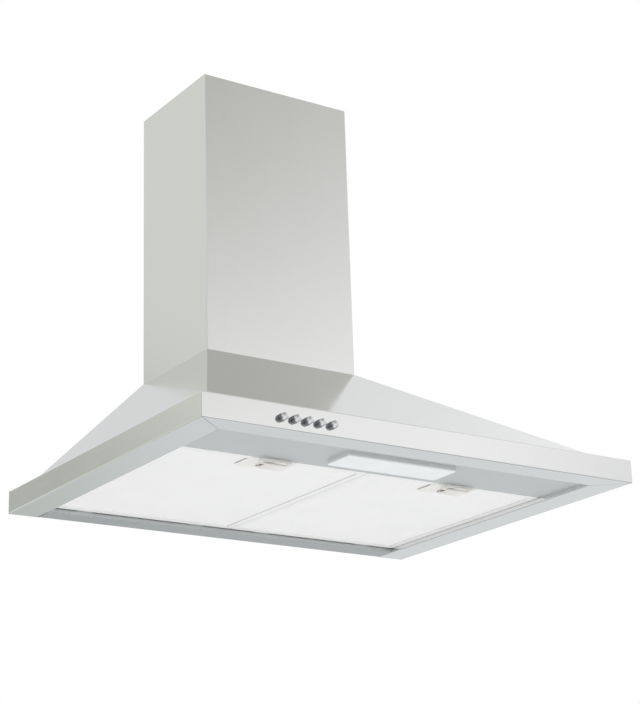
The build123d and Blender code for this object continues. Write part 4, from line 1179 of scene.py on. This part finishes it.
@dataclass
class ScrewSet(SubAssembly):
    """One node's pan-head screws, with crossed recesses and threads."""

    node: str = "deck_screws"
    head_height: float = 2.28 * MM
    head_sides: int = 48
    dome_height: float = 1.4 * MM
    dome_subdivisions: int = 5
    shank_radius: float = 1.9 * MM
    shank_sides: int = 24
    thread_pitch: float = 1.4 * MM
    thread_depth: float = 0.3 * MM
    thread_sides: int = 4
    points_per_turn: int = 20
    recess_width: float = 0.9 * MM
    recess_length: float = 3.9 * MM
    recess_depth: float = 1.3 * MM

    def __post_init__(self) -> None:
        """Names the one CAD node."""
        self.pieces = (self.node,)

    def build(self) -> None:
        """Makes the screws where the CAD node has its own."""
        screws = [self.read(*solid) for solid in self.model.solids(self.node)]
        seats, axes, lengths, radii = zip(*screws)
        values = self.sizes("shank_radius")
        values["Head Radius"] = min(radii)
        values["Core Radius"] = self.shank_radius - self.thread_depth
        values["Shank Length"] = min(lengths)
        values["Finish"] = self.finish_of(self.node).material()
        recipe = Recipe("pan_head_screw", values)
        self.draw(recipe)
        piece = recipe.grow(f"cross_head_{self.node}", seats, axes)
        self.stand_for(piece, self.node)

    def read(
        self, low: Vector, high: Vector, points: list[Vector]
    ) -> tuple[Vector, Vector, float, float]:
        """Finds how one CAD screw lies.

        Args:
            low: its lowest corner.
            high: its highest corner.
            points: its points.

        Returns:
            The middle of its seat under the head, the direction out of the head, the shank's
            length and the head's radius.
        """
        spans = [high[axis] - low[axis] for axis in range(3)]
        centre = (low + high) / 2
        along = min(range(3), key=lambda axis: abs(spans[(axis + 1) % 3] - spans[(axis + 2) % 3]))
        radius = spans[(along + 1) % 3] / 2
        widest = max(
            points,
            key=lambda point: sum(
                (point[axis] - centre[axis]) ** 2 for axis in range(3) if axis != along
            ),
        )
        seat = centre.copy()
        seat[along] = widest[along]
        above, below = high[along] - seat[along], seat[along] - low[along]
        is_up = abs(above - self.head_height) < abs(below - self.head_height)
        axis = Vector((0, 0, 0))
        axis[along] = 1 if is_up else -1
        return seat, axis, spans[along] - self.head_height, radius

    def draw(self, recipe: Recipe) -> None:
        """Draws the screw's tree, with its seat at the middle, turned along each point's axis.

        Args:
            recipe: the tree to draw.
        """
        parts = [self.draw_head(recipe), *self.draw_shank(recipe)]
        screw = recipe.add("GeometryNodeJoinGeometry", {"Geometry": parts})
        axis = recipe.add(
            "GeometryNodeInputNamedAttribute", {"Name": "axis"}, data_type="FLOAT_VECTOR"
        )
        turned = recipe.add("FunctionNodeAlignRotationToVector", {"Vector": axis}, axis="Z")
        recipe.finish(screw, turned)

    def draw_head(self, recipe: Recipe) -> Node:
        """Draws the head: a drum cut to a dome by a large ball, less two crossed bars.

        Args:
            recipe: the screw's tree.

        Returns:
            The node that hands out the head.
        """
        add = recipe.add
        squares = [
            add("ShaderNodeMath", {0: size, 1: 2}, operation="POWER")
            for size in ("Head Radius", "Dome Height")
        ]
        total = add("ShaderNodeMath", {0: squares[0], 1: squares[1]}, operation="ADD")
        twice = add("ShaderNodeMath", {0: "Dome Height", 1: 2}, operation="MULTIPLY")
        radius = add("ShaderNodeMath", {0: total, 1: twice}, operation="DIVIDE")
        middle = add("ShaderNodeMath", {0: "Head Height", 1: radius}, operation="SUBTRACT")
        half = add("ShaderNodeMath", {0: "Head Height", 1: 0.5}, operation="MULTIPLY")
        drum = add(
            "GeometryNodeMeshCylinder",
            {"Vertices": "Head Sides", "Radius": "Head Radius", "Depth": "Head Height"},
        )
        ball = add(
            "GeometryNodeMeshIcoSphere", {"Subdivisions": "Dome Subdivisions", "Radius": radius}
        )
        bars = []
        for x, y in (("Recess Length", "Recess Width"), ("Recess Width", "Recess Length")):
            size = add("ShaderNodeCombineXYZ", {"X": x, "Y": y, "Z": "Recess Depth"})
            bars.append(recipe.raised(add("GeometryNodeMeshCube", {"Size": size}), "Head Height"))
        dome = add(
            "GeometryNodeMeshBoolean",
            {"Mesh 2": [recipe.raised(drum, half), recipe.raised(ball, middle)]},
            operation="INTERSECT",
            solver="EXACT",
        )
        return add(
            "GeometryNodeMeshBoolean",
            {"Mesh 1": dome, "Mesh 2": bars},
            operation="DIFFERENCE",
            solver="EXACT",
        )

    def draw_shank(self, recipe: Recipe) -> tuple[Node, Node]:
        """Draws the shank and the ridge of its thread, both below the seat.

        Args:
            recipe: the screw's tree.

        Returns:
            The nodes that hand out the shank and the ridge.
        """
        add = recipe.add
        half, ridge_width, turns, foot = (
            add("ShaderNodeMath", {0: first, 1: second}, operation=operation)
            for operation, first, second in (
                ("MULTIPLY", "Shank Length", -0.5),
                ("MULTIPLY", "Thread Depth", 2),
                ("DIVIDE", "Shank Length", "Thread Pitch"),
                ("SUBTRACT", "Thread Depth", "Shank Length"),
            )
        )
        height = add("ShaderNodeMath", {0: "Shank Length", 1: ridge_width}, operation="SUBTRACT")
        shank = add(
            "GeometryNodeMeshCylinder",
            {"Vertices": "Shank Sides", "Radius": "Core Radius", "Depth": "Shank Length"},
        )
        helix = add(
            "GeometryNodeCurveSpiral",
            {
                "Resolution": "Points Per Turn",
                "Rotations": turns,
                "Start Radius": "Core Radius",
                "End Radius": "Core Radius",
                "Height": height,
            },
        )
        ridge = add(
            "GeometryNodeCurvePrimitiveCircle",
            {"Resolution": "Thread Sides", "Radius": "Thread Depth"},
        )
        thread = add(
            "GeometryNodeCurveToMesh",
            {"Curve": recipe.raised(helix, foot), "Profile Curve": ridge, "Fill Caps": True},
        )
        return recipe.raised(shank, half), thread


PLAIN_SUB_ASSEMBLIES = (
    Canopy,
    ChimneyCovers,
    LampPanel,
    ButtonRow,
    Blower,
    MotorUnit,
    Electrics,
    DuctSpigot,
)
SCREW_NODES = (
    "back_panel_screws",
    "bracket_screws",
    "deck_screws",
    "housing_screws",
    "motor_screws",
    "switch_screws",
)


def main() -> None:
    """Loads the frame, builds each sub-assembly in order and reports it."""
    logging.basicConfig(level=logging.INFO, format="%(name)s: %(message)s")
    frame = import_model()
    model = HoodModel(frame)
    hood = [kind(model) for kind in PLAIN_SUB_ASSEMBLIES]
    for side in ("left", "right"):
        hood.extend((GreaseFilter(model, side=side), FilterLatch(model, side=side)))
    hood.extend(ScrewSet(model, node=node) for node in SCREW_NODES)
    for sub_assembly in hood:
        sub_assembly.dress()
        sub_assembly.build()
    Studio().build()


if __name__ == "__main__":
    main()
